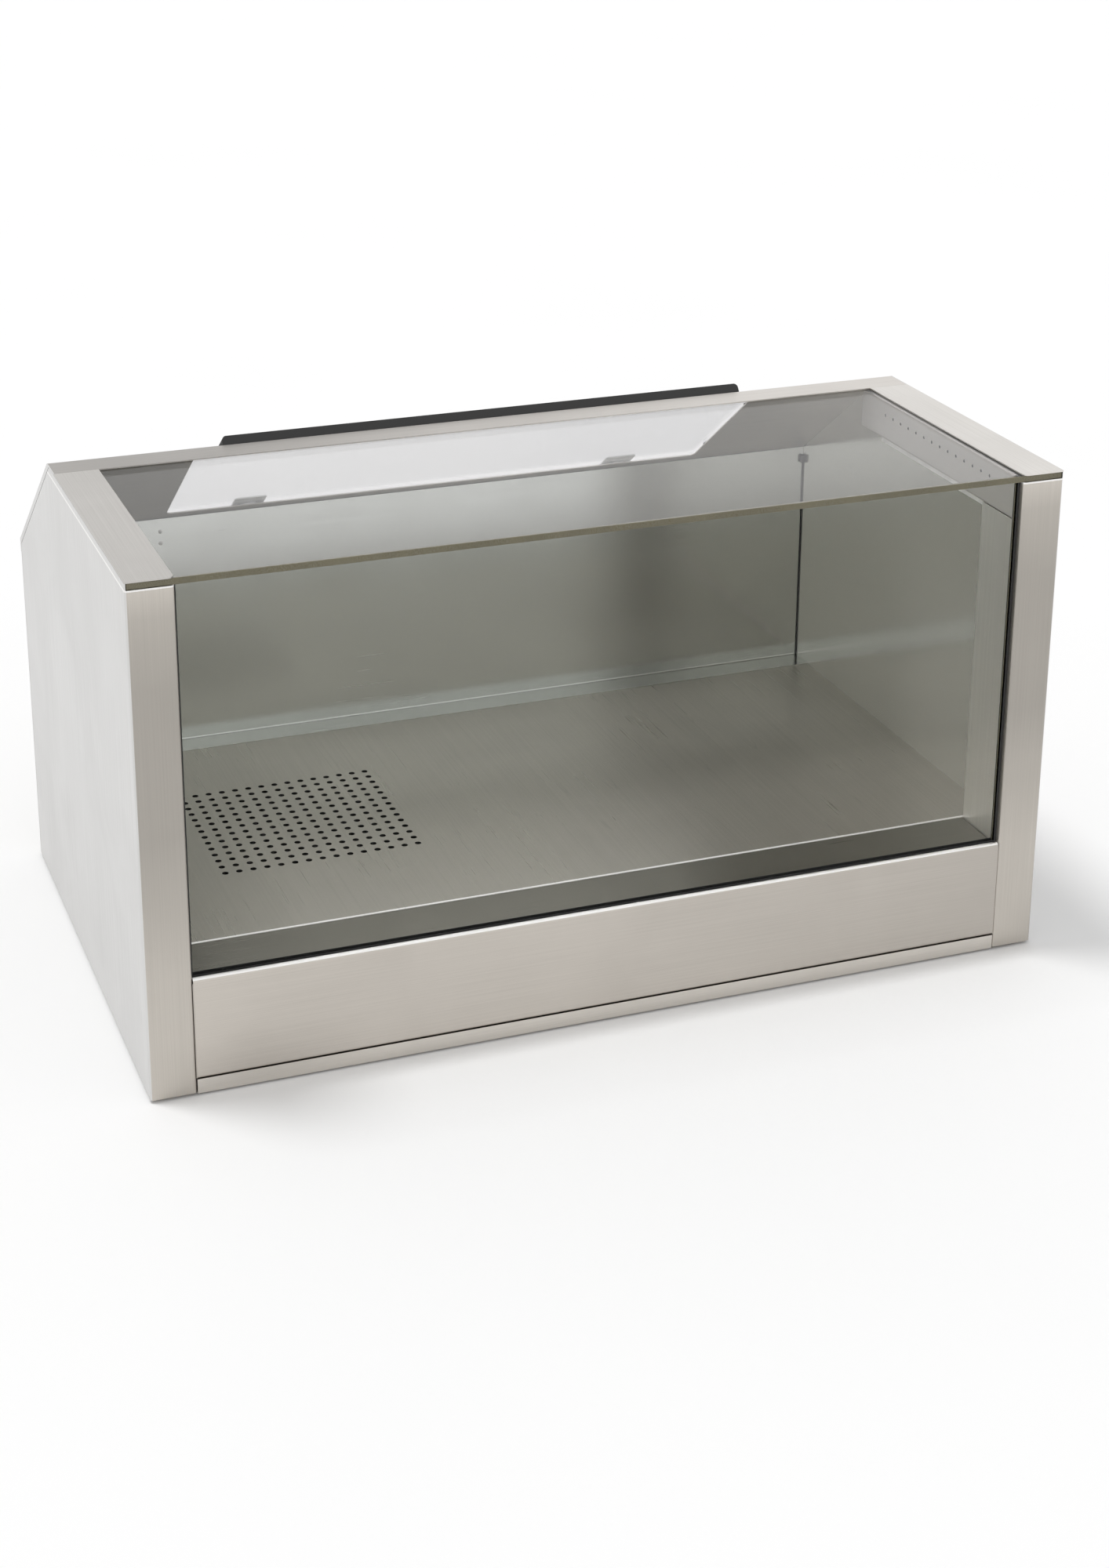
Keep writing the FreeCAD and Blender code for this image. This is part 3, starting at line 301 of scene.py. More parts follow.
def turned(name: str, profile: Steps, sides: int = 32) -> Piece:
    """Turns a round piece on the Z axis by drawing one disc out step by step.

    Args:
        name: Name of the piece.
        profile: Radius and height of each step, from the foot to the tip.
        sides: Number of sides.

    Returns:
        The closed piece, standing on the origin.
    """
    clear_selection()
    radius, height = profile[0]
    middle = (0, 0, height)
    bpy.ops.mesh.primitive_circle_add(vertices=sides, radius=radius, fill_type="NGON", location=middle)
    piece = bpy.context.object
    piece.name = name
    set_down(piece)
    with editing(piece):
        pick(piece, Pick.FACES, lambda face: True)
        for wider, higher in profile[1:]:
            bpy.ops.mesh.extrude_region_move(TRANSFORM_OT_translate={"value": (0, 0, higher - height)})
            grow = wider / radius
            bpy.ops.transform.resize(value=(grow, grow, 1.0), center_override=(0, 0, higher))
            radius, height = wider, higher
    face_out(piece)
    return piece


def placed(piece: Piece, place: Matrix) -> Piece:
    """Moves a piece that was modelled elsewhere to its place and returns it."""
    piece.matrix_world = place @ piece.matrix_world
    return set_down(piece)


def twin(piece: Piece, name: str, place: Matrix) -> Piece:
    """Copies a modelled piece, with a mesh of its own, to another place.

    Args:
        piece: Piece to copy.
        name: Name of the copy.
        place: Where the copy goes.

    Returns:
        The copy.
    """
    hold(piece)
    bpy.ops.object.duplicate(linked=False)
    copy = bpy.context.object
    copy.name = name
    return placed(copy, place)


def joined(name: str, pieces: Sequence[Piece]) -> Piece:
    """Makes one piece of several that lie apart and returns it."""
    hold(pieces[0])
    for piece in pieces[1:]:
        piece.select_set(True)
    bpy.ops.object.join()
    pieces[0].name = name
    return pieces[0]


def copied(model: Piece, name: str, places: Sequence[Matrix]) -> Piece:
    """Copies a modelled piece to several places and returns the copies as one piece."""
    return joined(name, [twin(model, f"{name}_{i}", place) for i, place in enumerate(places)])


def mirrored(piece: Piece, name: str) -> Piece:
    """Copies a modelled piece to the other side of the cabinet and returns the copy."""
    copy = twin(piece, name, Matrix.Scale(-1.0, 4, X))
    face_out(copy)
    return copy


def bar(name: str, radius: float, start: Point, end: Point, sides: int = 32, soft: float = 0.0) -> Piece:
    """Adds a round bar from one point to another.

    Args:
        name: Name of the piece.
        radius: Radius in metres.
        start: Middle of one end.
        end: Middle of the other end.
        sides: Number of sides.
        soft: How far the rims are broken.

    Returns:
        The bar, in its place.
    """
    line = Vector(end) - Vector(start)
    length = line.length
    profile = [(radius, 0.0), (radius, length)]
    if soft:
        profile = [(radius - soft, 0.0), (radius, soft), (radius, length - soft), (radius - soft, length)]
    turn = Vector(Z).rotation_difference(line).to_matrix().to_4x4()
    return placed(turned(name, profile, sides), Matrix.Translation(start) @ turn)


def soften(piece: Piece, width: float, steps: int = 2, angle: float = 40.0) -> None:
    """Breaks all edges of a piece that are sharper than an angle in degrees."""
    hold(piece)
    step = piece.modifiers.new("soften", "BEVEL")
    step.width = width
    step.segments = steps
    step.limit_method = "ANGLE"
    step.angle_limit = math.radians(angle)
    bpy.ops.object.modifier_apply(modifier=step.name)
    smooth(piece)


# Finishes


class Graph:
    """A node tree with short words for adding and linking nodes."""

    def __init__(self, tree: Tree) -> None:
        """Starts on an existing tree."""
        self.tree = tree

    def feed(self, node: Node, inputs: dict[object, object]) -> None:
        """Sets inputs of a node, by name or number, to values or to what output sockets give."""
        for key, value in inputs.items():
            if isinstance(value, Socket):
                self.tree.links.new(value, node.inputs[key])
            else:
                node.inputs[key].default_value = value

    def add(self, kind: str, inputs: dict[object, object] | None = None, **settings: object) -> Node:
        """Adds a node.

        Args:
            kind: Blender's name of the node type.
            inputs: Values or output sockets for the inputs, by name or number.
            settings: Attributes of the node itself.

        Returns:
            The new node.
        """
        node = self.tree.nodes.new(kind)
        for key, value in settings.items():
            setattr(node, key, value)
        self.feed(node, inputs or {})
        return node

    def math(self, operation: str, first: object, second: object = 0.0) -> Socket:
        """Adds a calculation with two values and returns its result."""
        return self.add("ShaderNodeMath", {0: first, 1: second}, operation=operation).outputs[0]

    def spread(self, value: Socket, low: object, high: object,
               to_low: float = 0.0, to_high: float = 1.0) -> Socket:
        """Stretches one range of a value over another, held at the ends, and returns the result."""
        inputs = {"Value": value, "From Min": low, "From Max": high, "To Min": to_low, "To Max": to_high}
        return self.add("ShaderNodeMapRange", inputs).outputs["Result"]

    def blend(self, share: object, first: object, second: object, way: str = "MIX") -> Socket:
        """Mixes two colours and returns the mixture."""
        inputs = {0: share, 6: first, 7: second}
        return self.add("ShaderNodeMix", inputs, data_type="RGBA", blend_type=way).outputs[2]

    def noise(self, place: Socket, scale: object, detail: float = 3.0, warp: float = 0.0) -> Socket:
        """Adds soft noise and returns its value."""
        inputs = {"Vector": place, "Scale": scale, "Detail": detail, "Distortion": warp}
        return self.add("ShaderNodeTexNoise", inputs).outputs[0]

    def sweep(self, colour: object, axis: str, stops: Steps) -> Socket:
        """Paints light and shade along an axis by letting a colour fade: a painted sheen.

        Args:
            colour: Colour at full strength.
            axis: X, Y or Z.
            stops: Places in metres along the axis, each with the share of the colour that is left there.

        Returns:
            The faded colour.
        """
        first, last = stops[0][0], stops[-1][0]
        ramp = self.add("ShaderNodeValToRGB", {0: self.spread(self.along(axis), first, last)})
        steps = ramp.color_ramp.elements
        while len(steps) < len(stops):
            steps.new(0.5)
        for step, (place, share) in zip(steps, stops):
            step.position = (place - first) / (last - first)
            step.color = (share, share, share, 1.0)
        return self.blend(1.0, colour, ramp.outputs[0], "MULTIPLY")

    def here(self) -> Socket:
        """Gives the place on the object."""
        return self.add("ShaderNodeTexCoord").outputs["Object"]

    def along(self, axis: str) -> Socket:
        """Gives the place on the object along one axis."""
        return self.add("ShaderNodeSeparateXYZ", {0: self.here()}).outputs[axis]

    def stretched(self, place: Socket, scale: Socket) -> Socket:
        """Packs a place more tightly along some axes than along others."""
        return self.add("ShaderNodeMapping", {"Vector": place, "Scale": scale}).outputs[0]

    def group(self, effect: Tree, **values: object) -> Node:
        """Places a shared effect with its own values and returns the node."""
        return self.add("ShaderNodeGroup", values, node_tree=effect)


class Effects:
    """Shared effects, each built once as a node group; a span is the part of a noise that shows."""

    line_span: ClassVar[Pair] = (0.25, 0.75)
    smear_span: ClassVar[Pair] = (0.36, 0.68)
    scratch_span: ClassVar[Pair] = (0.54, 0.66)
    handling_span: ClassVar[Pair] = (0.4, 0.62)

    @staticmethod
    def _open(name: str, inputs: dict[str, str], outputs: Sequence[str]) -> tuple[Graph, Node, Node]:
        """Starts an effect.

        Args:
            name: Name of the effect.
            inputs: Kind of socket for each input.
            outputs: Names of the values that it gives.

        Returns:
            The graph, its input node and its output node.
        """
        tree = bpy.data.node_groups.new(name, "ShaderNodeTree")
        for key, kind in inputs.items():
            tree.interface.new_socket(key, in_out="INPUT", socket_type=kind)
        for key in outputs:
            tree.interface.new_socket(key, in_out="OUTPUT", socket_type="NodeSocketFloat")
        graph = Graph(tree)
        return graph, graph.add("NodeGroupInput"), graph.add("NodeGroupOutput")

    @classmethod
    @cache
    def brushing(cls) -> Tree:
        """Brushed lines along one direction, and soft smears over them."""
        graph, given, result = cls._open("brushing", {"Stretch": "NodeSocketVector"}, ("Lines", "Smears"))
        here = graph.here()
        lines = graph.noise(graph.stretched(here, given.outputs["Stretch"]), scale=1.0, detail=4.0)
        smears = graph.noise(here, scale=7.0, detail=3.0, warp=0.8)
        graph.feed(result, {
            "Lines": graph.spread(lines, *cls.line_span),
            "Smears": graph.spread(smears, *cls.smear_span),
        })
        return graph.tree

    @classmethod
    @cache
    def scratches(cls) -> Tree:
        """Thin broken scratches that mostly run one way."""
        inputs = {"Stretch": "NodeSocketVector", "Width": "NodeSocketFloat"}
        graph, given, result = cls._open("scratches", inputs, ("Scratch",))
        here = graph.here()
        hills = graph.noise(graph.stretched(here, given.outputs["Stretch"]), scale=1.0, detail=1.0)
        contour = graph.math("ABSOLUTE", graph.math("SUBTRACT", hills, 0.5))
        thin = graph.spread(contour, 0.0, given.outputs["Width"], 1.0, 0.0)
        patches = graph.spread(graph.noise(here, scale=22.0, detail=2.0), *cls.scratch_span)
        graph.feed(result, {"Scratch": graph.math("MULTIPLY", thin, patches)})
        return graph.tree

    @classmethod
    @cache
    def moulding(cls) -> Tree:
        """Fine texture of a moulded surface, with duller patches from handling."""
        graph, given, result = cls._open("moulding", {"Fineness": "NodeSocketFloat"}, ("Texture", "Handling"))
        here = graph.here()
        fine = graph.noise(here, given.outputs["Fineness"], detail=2.0)
        patches = graph.spread(graph.noise(here, scale=40.0, detail=2.0), *cls.handling_span)
        graph.feed(result, {"Texture": fine, "Handling": patches})
        return graph.tree


def opaque(colour: Colour, share: float = 1.0) -> tuple[float, float, float, float]:
    """Gives a share of a colour, with full cover."""
    return (*(value * share for value in colour), 1.0)


def start_material(name: str) -> tuple[Material, Graph, Node]:
    """Starts a material with one plain shader.

    Args:
        name: Name of the material.

    Returns:
        The material, its graph and its shader.
    """
    material = bpy.data.materials.new(name)
    material.use_nodes = True
    graph = Graph(material.node_tree)
    return material, graph, material.node_tree.nodes["Principled BSDF"]


@dataclass(frozen=True)
class Finish:
    """What every finish has: a name and a colour."""

    name: str
    colour: Colour

    def material(self) -> Material:
        """Gives the finish as a material, made on first use."""
        found = bpy.data.materials.get(self.name)
        return found if found else self.make()

    def make(self) -> Material:
        """Makes the material."""
        raise NotImplementedError


@dataclass(frozen=True)
class Steel(Finish):
    """Stainless sheet with brushed lines, smears and, where it is used hard, scratches."""

    grain: Grain = Grain.UPRIGHT
    roughness: float = 0.36
    contrast: float = 0.1
    depth: float = 0.05
    scratched: float = 0.0
    # Outer sides painted lighter than the front of the same sheet: painted light.
    lit_side_colour: Colour | None = None
    skin_side: float = 0.4484
    # Inner faces painted lighter and warmer than the front: painted light from inside the cabinet.
    lit_inner_colour: Colour | None = None
    inner_from: float = -0.262
    metal: float = 1.0
    # Painted highlight: the axis and the span along it that is painted near white.
    painted_highlight: tuple[str, float, float] | None = None
    # Painted sheen: light and shade painted along one axis, as stops of a colour ramp.
    painted_sheen: tuple[str, Steps] | None = None
    # Near-white colour of the painted highlight.
    highlight_colour: ClassVar[Colour] = (0.93, 0.92, 0.90)
    dark_share: ClassVar[float] = 0.2
    smear_share: ClassVar[float] = 0.5
    unevenness: ClassVar[float] = 0.05
    scratch_width: ClassVar[float] = 0.006
    scratch_pack: ClassVar[Pair] = (42.0, 3.0)
    tight_from: ClassVar[float] = 100.0
    bump: ClassVar[float] = 0.4 * MM

    def _tint(self, graph: Graph) -> object:
        """Gives the colour over the sheet with painted light: a painted sheen, inner faces and outer sides
        painted lighter, and a painted highlight on a bent edge.
        """
        colour: object = opaque(self.colour)
        if self.painted_sheen:
            colour = graph.sweep(colour, *self.painted_sheen)
        # Painted light: faces behind inner_from are painted lighter and warmer.
        if self.lit_inner_colour:
            behind = graph.math("GREATER_THAN", graph.along("Y"), self.inner_from)
            colour = graph.blend(behind, colour, opaque(self.lit_inner_colour))
        # Painted light: the outer sides are painted lighter, as if more strongly lit.
        if self.lit_side_colour:
            outside = graph.math("GREATER_THAN", graph.math("ABSOLUTE", graph.along("X")), self.skin_side)
            colour = graph.blend(outside, colour, opaque(self.lit_side_colour))
        # Painted highlight: a narrow band along an axis is painted near white, as light caught on a bent
        # edge.
        if self.painted_highlight:
            axis, low, high = self.painted_highlight
            along = graph.along(axis)
            above, below = graph.math("GREATER_THAN", along, low), graph.math("LESS_THAN", along, high)
            colour = graph.blend(graph.math("MULTIPLY", above, below), colour, opaque(self.highlight_colour))
        return colour

    def make(self) -> Material:
        """Makes the material: colour, roughness and a shallow bump follow the brushing."""
        material, graph, shader = start_material(self.name)
        effect = graph.group(Effects.brushing(), Stretch=self.grain.value)
        lines, smears = effect.outputs["Lines"], effect.outputs["Smears"]
        smeared = graph.math("MULTIPLY", smears, self.contrast * self.smear_share)
        dark = graph.math("ADD", graph.math("MULTIPLY", lines, self.contrast), smeared)
        if self.scratched:
            tight, loose = self.scratch_pack
            stretch = tuple(tight if value > self.tight_from else loose for value in self.grain.value)
            cuts = graph.group(Effects.scratches(), Stretch=stretch, Width=self.scratch_width)
            dark = graph.math("ADD", dark, graph.math("MULTIPLY", cuts.outputs["Scratch"], self.scratched))
        least, most = self.roughness - self.unevenness, self.roughness + self.unevenness
        dull = graph.math("MULTIPLY", smears, self.unevenness)
        bump = graph.add("ShaderNodeBump", {"Strength": self.depth, "Distance": self.bump, "Height": lines})
        graph.feed(shader, {
            "Base Color": graph.blend(dark, self._tint(graph), opaque(self.colour, self.dark_share)),
            "Roughness": graph.math("ADD", graph.spread(lines, 0.0, 1.0, least, most), dull),
            "Normal": bump.outputs[0],
            "Metallic": self.metal,
        })
        return material


@dataclass(frozen=True)
class Moulded(Finish):
    """Plastic, rubber or paint with a fine surface texture."""

    roughness: float = 0.45
    fineness: float = 1800.0
    depth: float = 0.12
    worn_gain: ClassVar[float] = 1.35
    worn_lift: ClassVar[float] = 0.006
    worn_share: ClassVar[float] = 0.45
    unevenness: ClassVar[float] = 0.06
    bump: ClassVar[float] = 0.3 * MM

    def make(self) -> Material:
        """Makes the material: the texture shows in the colour, the roughness and a bump."""
        material, graph, shader = start_material(self.name)
        effect = graph.group(Effects.moulding(), Fineness=self.fineness)
        texture, handling = effect.outputs["Texture"], effect.outputs["Handling"]
        worn = tuple(min(1.0, value * self.worn_gain + self.worn_lift) for value in self.colour)
        share = graph.math("MULTIPLY", handling, self.worn_share)
        least, most = self.roughness - self.unevenness, self.roughness + self.unevenness
        polish = graph.math("MULTIPLY", handling, self.unevenness)
        bump = graph.add("ShaderNodeBump", {"Strength": self.depth, "Distance": self.bump, "Height": texture})
        graph.feed(shader, {
            "Base Color": graph.blend(share, opaque(self.colour), opaque(worn)),
            "Roughness": graph.math("SUBTRACT", graph.spread(texture, *NOISE, least, most), polish),
            "Normal": bump.outputs[0],
        })
        return material


@dataclass(frozen=True)
class Clear(Finish):
    """Clear pane that lets light and shadow rays through."""

    bend: float = 1.5
    veil: float = 0.0
    smear: ClassVar[float] = 0.012

    def make(self) -> Material:
        """Makes the material: plain glass, with the shadow ray let through and tinted."""
        material, graph, shader = start_material(self.name)
        tint = opaque(self.colour)
        smears = graph.group(Effects.brushing(), Stretch=Grain.ACROSS.value).outputs["Smears"]
        graph.feed(shader, {
            "Base Color": tint,
            "Roughness": graph.spread(smears, 0.0, 1.0, self.veil, self.veil + self.smear),
            "Transmission Weight": 1.0,
            "IOR": self.bend,
        })
        clear = graph.add("ShaderNodeBsdfTransparent", {"Color": tint})
        path = graph.add("ShaderNodeLightPath").outputs
        through = graph.math("MAXIMUM", path["Is Shadow Ray"], path["Is Diffuse Ray"])
        mixed = graph.add("ShaderNodeMixShader", {0: through, 1: shader.outputs[0], 2: clear.outputs[0]})
        graph.feed(graph.tree.nodes["Material Output"], {"Surface": mixed.outputs[0]})
        return material


@dataclass(frozen=True)
class Glow(Finish):
    """Milky or tinted cover that is lit from behind."""

    strength: float = 2.0
    fineness: ClassVar[float] = 900.0
    dim: ClassVar[float] = 0.86
    dim_share: ClassVar[float] = 0.25
    roughness: ClassVar[Pair] = (0.3, 0.42)

    def make(self) -> Material:
        """Makes the material: a slightly uneven glow under a satin surface."""
        material, graph, shader = start_material(self.name)
        effect = graph.group(Effects.moulding(), Fineness=self.fineness)
        share = graph.math("MULTIPLY", effect.outputs["Handling"], self.dim_share)
        shade = graph.blend(share, opaque(self.colour), opaque(self.colour, self.dim))
        graph.feed(shader, {
            "Base Color": shade,
            "Emission Color": shade,
            "Roughness": graph.spread(effect.outputs["Texture"], *NOISE, *self.roughness),
            "Emission Strength": self.strength,
        })
        return material


class Palette:
    """All finishes of the cabinet."""

    # Lighter colour painted on the outer sides of the cabinet, as painted light.
    lit_side: Colour = (0.70, 0.695, 0.685)
    # Posts: painted sheen, darker at mid-height; inner faces and outer sides painted lighter; painted
    # highlight on the top edge.
    post = Steel("post_steel", (0.64, 0.60, 0.545), Grain.UPRIGHT, lit_side_colour=lit_side, metal=0.88,
                 lit_inner_colour=(0.86, 0.845, 0.80), painted_highlight=("Z", 0.4908, 0.4930),
                 painted_sheen=("Z", ((0.0, 0.94), (0.12, 0.88), (0.26, 0.64), (0.40, 0.64), (0.465, 0.76),
                              (0.49, 0.95))))
    # Bands: painted sheen, lighter towards the right band, as a painted reflection.
    band = Steel("band_steel", (0.76, 0.735, 0.70), Grain.DEPTH, painted_sheen=("X", ((-0.41, 0.74), (0.41, 1.0))))
    # Fascia: painted sheen, darker towards the right, and a painted highlight on the rolled lip.
    fascia = Steel("fascia_steel", (0.61, 0.57, 0.52), Grain.ACROSS, painted_highlight=("Z", 0.1163, 0.1190),
                   painted_sheen=("X", ((-0.41, 1.0), (0.0, 0.955), (0.41, 0.84))))
    tray = Steel("tray_steel", (0.72, 0.685, 0.635), Grain.ACROSS)
    # Hood: painted sheen, darker on the left and lighter on the right; outer sides painted lighter.
    hood = Steel("hood_steel", (0.74, 0.705, 0.665), Grain.ACROSS, lit_side_colour=lit_side, skin_side=0.4492,
                 painted_sheen=("X", ((-0.45, 0.56), (-0.30, 0.54), (-0.13, 0.70), (0.20, 0.92), (0.45, 0.98))))
    # Back: outer sides painted lighter, as painted light.
    back = Steel("back_steel", (0.57, 0.54, 0.495), Grain.ACROSS, lit_side_colour=lit_side, skin_side=0.4492)
    liner = Steel("liner_polished", (0.70, 0.69, 0.65), Grain.UPRIGHT, 0.12, 0.05, 0.004, metal=0.75)
    back_liner = Steel("back_liner_polished", (0.53, 0.54, 0.515), Grain.ACROSS, 0.19, 0.05, 0.004)
    valance = Steel("valance_steel", (0.62, 0.60, 0.57), Grain.DEPTH, 0.34, 0.06, 0.004, metal=0.6)
    # Deck: painted highlight along its bent front edge.
    deck = Steel("deck_brushed", (0.45, 0.43, 0.378), Grain.DEPTH, 0.3, 0.12, 0.006, 0.17, metal=0.82,
                 painted_highlight=("Y", -0.1960, -0.1928))
    # Painted shade: the walls of the punched holes are painted near black.
    hole = Steel("painted_hole_shade", (0.012, 0.012, 0.011), Grain.UPRIGHT, 0.6, 0.1, 0.01, metal=0.2)
    # Painted shade: the chute, seen only through the deck's holes, is painted near black.
    chute = Steel("painted_chute_shade", (0.02, 0.02, 0.019), Grain.UPRIGHT, 0.6, 0.2, 0.01, metal=0.3)
    # Painted shade: the ledge and glass rest are painted darker than plain steel, as shade in front of the
    # deck.
    ledge = Steel("ledge_brushed", (0.22, 0.21, 0.178), Grain.ACROSS, 0.3, 0.1, 0.006, 0.12, metal=0.85)
    inner = Steel("inner_zinc", (0.44, 0.45, 0.46), Grain.ACROSS, 0.42, 0.25, 0.05, 0.2)
    blower = Steel("blower_zinc", (0.50, 0.51, 0.52), Grain.UPRIGHT, 0.38, 0.2, 0.05)
    motor = Moulded("motor_enamel", (0.045, 0.05, 0.055), 0.38, 900.0, 0.08)
    shaft = Steel("shaft_ground", (0.60, 0.59, 0.57), Grain.UPRIGHT, 0.2, 0.15, 0.03)
    heater = Steel("heater_sheath", (0.16, 0.13, 0.11), Grain.ACROSS, 0.48, 0.3, 0.05)
    control = Steel("control_zinc", (0.50, 0.49, 0.46), Grain.UPRIGHT, 0.34, 0.2, 0.05)
    hinge = Steel("hinge_steel", (0.55, 0.535, 0.505), Grain.ACROSS, 0.26, 0.12, 0.04)
    screw = Steel("screw_steel", (0.52, 0.51, 0.49), Grain.ACROSS, 0.24, 0.1, 0.03)
    front_glass = Clear("front_glass", (0.975, 0.985, 0.975), 1.1)
    top_glass = Clear("top_glass", (0.975, 0.968, 0.976), 1.16)
    glass_edge = Moulded("pane_edge", (0.135, 0.122, 0.076), 0.3, 900.0, 0.03)
    flap = Clear("flap_clear", (0.97, 0.975, 0.985), 1.47)
    flap_edge = Clear("flap_edge", (0.70, 0.74, 0.78), 1.47, 0.18)
    gasket = Moulded("gasket_rubber", (0.010, 0.010, 0.010), 0.62, 1200.0, 0.2)
    black = Moulded("black_plastic", (0.016, 0.016, 0.017), 0.42, 2200.0, 0.16)
    red = Moulded("rocker_red", (0.42, 0.018, 0.014), 0.32, 2200.0, 0.06)
    pad = Moulded("white_pad", (0.88, 0.88, 0.87), 0.5, 1200.0, 0.05)
    mark = Moulded("white_mark", (0.80, 0.80, 0.78), 0.5, 2200.0, 0.05)
    paint = Moulded("lamp_channel_paint", (0.74, 0.73, 0.70), 0.4, 700.0, 0.08)
    cover = Glow("light_cover", (1.0, 0.86, 0.66), 14.0)
    amber = Glow("lamp_amber", (1.0, 0.30, 0.035), 1.1)


def settle(piece: Piece, body: str, slot: str, finish: Finish | None, *stands_for: str) -> None:
    """Gives a finished piece its body and its finish, and reports it.

    Args:
        piece: The modelled piece.
        body: Body that it moves with.
        slot: Material slot of the record that it belongs to; not used.
        finish: Its finish, unless it was painted face by face.
        stands_for: Nodes that it is shown in place of.
    """
    if finish and not piece.data.materials:
        piece.data.materials.append(finish.material())
    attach(piece, body)
    if stands_for:
        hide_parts(*stands_for)
    log.info("%s rides on %s with %d faces", piece.name, body, len(piece.data.polygons))


def paint_faces(piece: Piece, finishes: Sequence[Finish], number: Callable[[object], int]) -> None:
    """Gives each face of a piece one of several finishes.

    Args:
        piece: Piece to paint.
        finishes: Finishes to choose from.
        number: Says which finish a face gets.
    """
    for finish in finishes:
        piece.data.materials.append(finish.material())
    for face in piece.data.polygons:
        face.material_index = number(face)


def edges_apart(axis: Point) -> Callable[[object], int]:
    """Gives the numbers for painting a pane: 0 on its broad faces along an axis, 1 on its edges."""
    broad = Vector(axis)
    return lambda face: int(abs(face.normal.dot(broad)) < FLAT)


@dataclass(frozen=True)
class SlopePlace:
    """The rear slope: places on it are across, up the slope from the knee, and out of it."""

    knee_y: float = 0.270
    knee_z: float = 0.361
    ridge_y: float = 0.078
    ridge_z: float = 0.500

    @property
    def matrix(self) -> Matrix:
        """Place and turn of a piece that was modelled flat."""
        up = Vector((0.0, self.ridge_y - self.knee_y, self.ridge_z - self.knee_z)).normalized()
        out = up.cross(Vector(X))
        turn = Matrix(((-1.0, up.x, out.x), (0.0, up.y, out.y), (0.0, up.z, out.z)))
        return Matrix.Translation((0.0, self.knee_y, self.knee_z)) @ turn.to_4x4()


SLOPE = SlopePlace()


@dataclass
class Cabinet:
    """Folded steel of the cabinet: each sheet gets the finish that its face shows."""

    finishes: dict[Finish, tuple[str, ...]] = field(default_factory=lambda: {
        Palette.post: ("left_side_panel", "right_side_panel"),
        Palette.band: ("left_top_band", "right_top_band"),
        Palette.fascia: ("front_fascia",),
        Palette.tray: ("kernel_tray",),
        Palette.hood: ("rear_hood",),
        Palette.back: ("back_panel",),
        Palette.liner: ("left_side_liner", "right_side_liner"),
        Palette.back_liner: ("back_liner",),
        Palette.valance: ("left_duct_valance", "right_duct_valance"),
        Palette.deck: ("deck",),
        Palette.ledge: ("front_ledge", "glass_rest"),
        Palette.chute: ("kernel_chute",),
        Palette.inner: ("left_deck_rail", "right_deck_rail", "base_pan", "base_side_strip", "base_crossbars",
                        "glass_channel", "left_tray_runner", "right_tray_runner", "heater_box",
                        "front_plenum", "control_bay"),
        Palette.blower: ("blower_housing", "blower_wheel"),
        Palette.motor: ("blower_motor",),
        Palette.shaft: ("motor_shaft", "thermostat_spindle", "hinge_pins"),
        Palette.heater: ("heater_element",),
        Palette.control: ("overheat_cutout", "thermostat_body"),
        Palette.hinge: ("hinge_frame_leaves", "hinge_door_leaves"),
        Palette.front_glass: ("front_glass",),
        Palette.top_glass: ("top_glass",),
        Palette.flap: ("rear_door",),
        Palette.gasket: ("glass_gasket", "door_bumpers", "rubber_feet"),
        Palette.black: ("temperature_probe", "door_grip", "thermostat_knob", "power_inlet",
                        "power_switch_body", "light_switch_body", "light_rocker", "terminal_block"),
        Palette.red: ("power_rocker",),
        Palette.amber: ("pilot_lamp",),
        Palette.paint: ("left_light_bar", "right_light_bar"),
        Palette.cover: ("left_light_lens", "right_light_lens"),
    })

    def dress(self) -> None:
        """Puts the finishes on the sheets and the fittings."""
        left = set(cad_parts)
        for finish, names in self.finishes.items():
            for name in names:
                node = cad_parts[name]
                if not node.material_slots:
                    node.data.materials.append(None)
                for slot in node.material_slots:
                    slot.material = finish.material()
                left.discard(name)
                log.info("%s has %s", name, finish.name)
        if left:
            raise ValueError(f"no finish for {sorted(left)}")


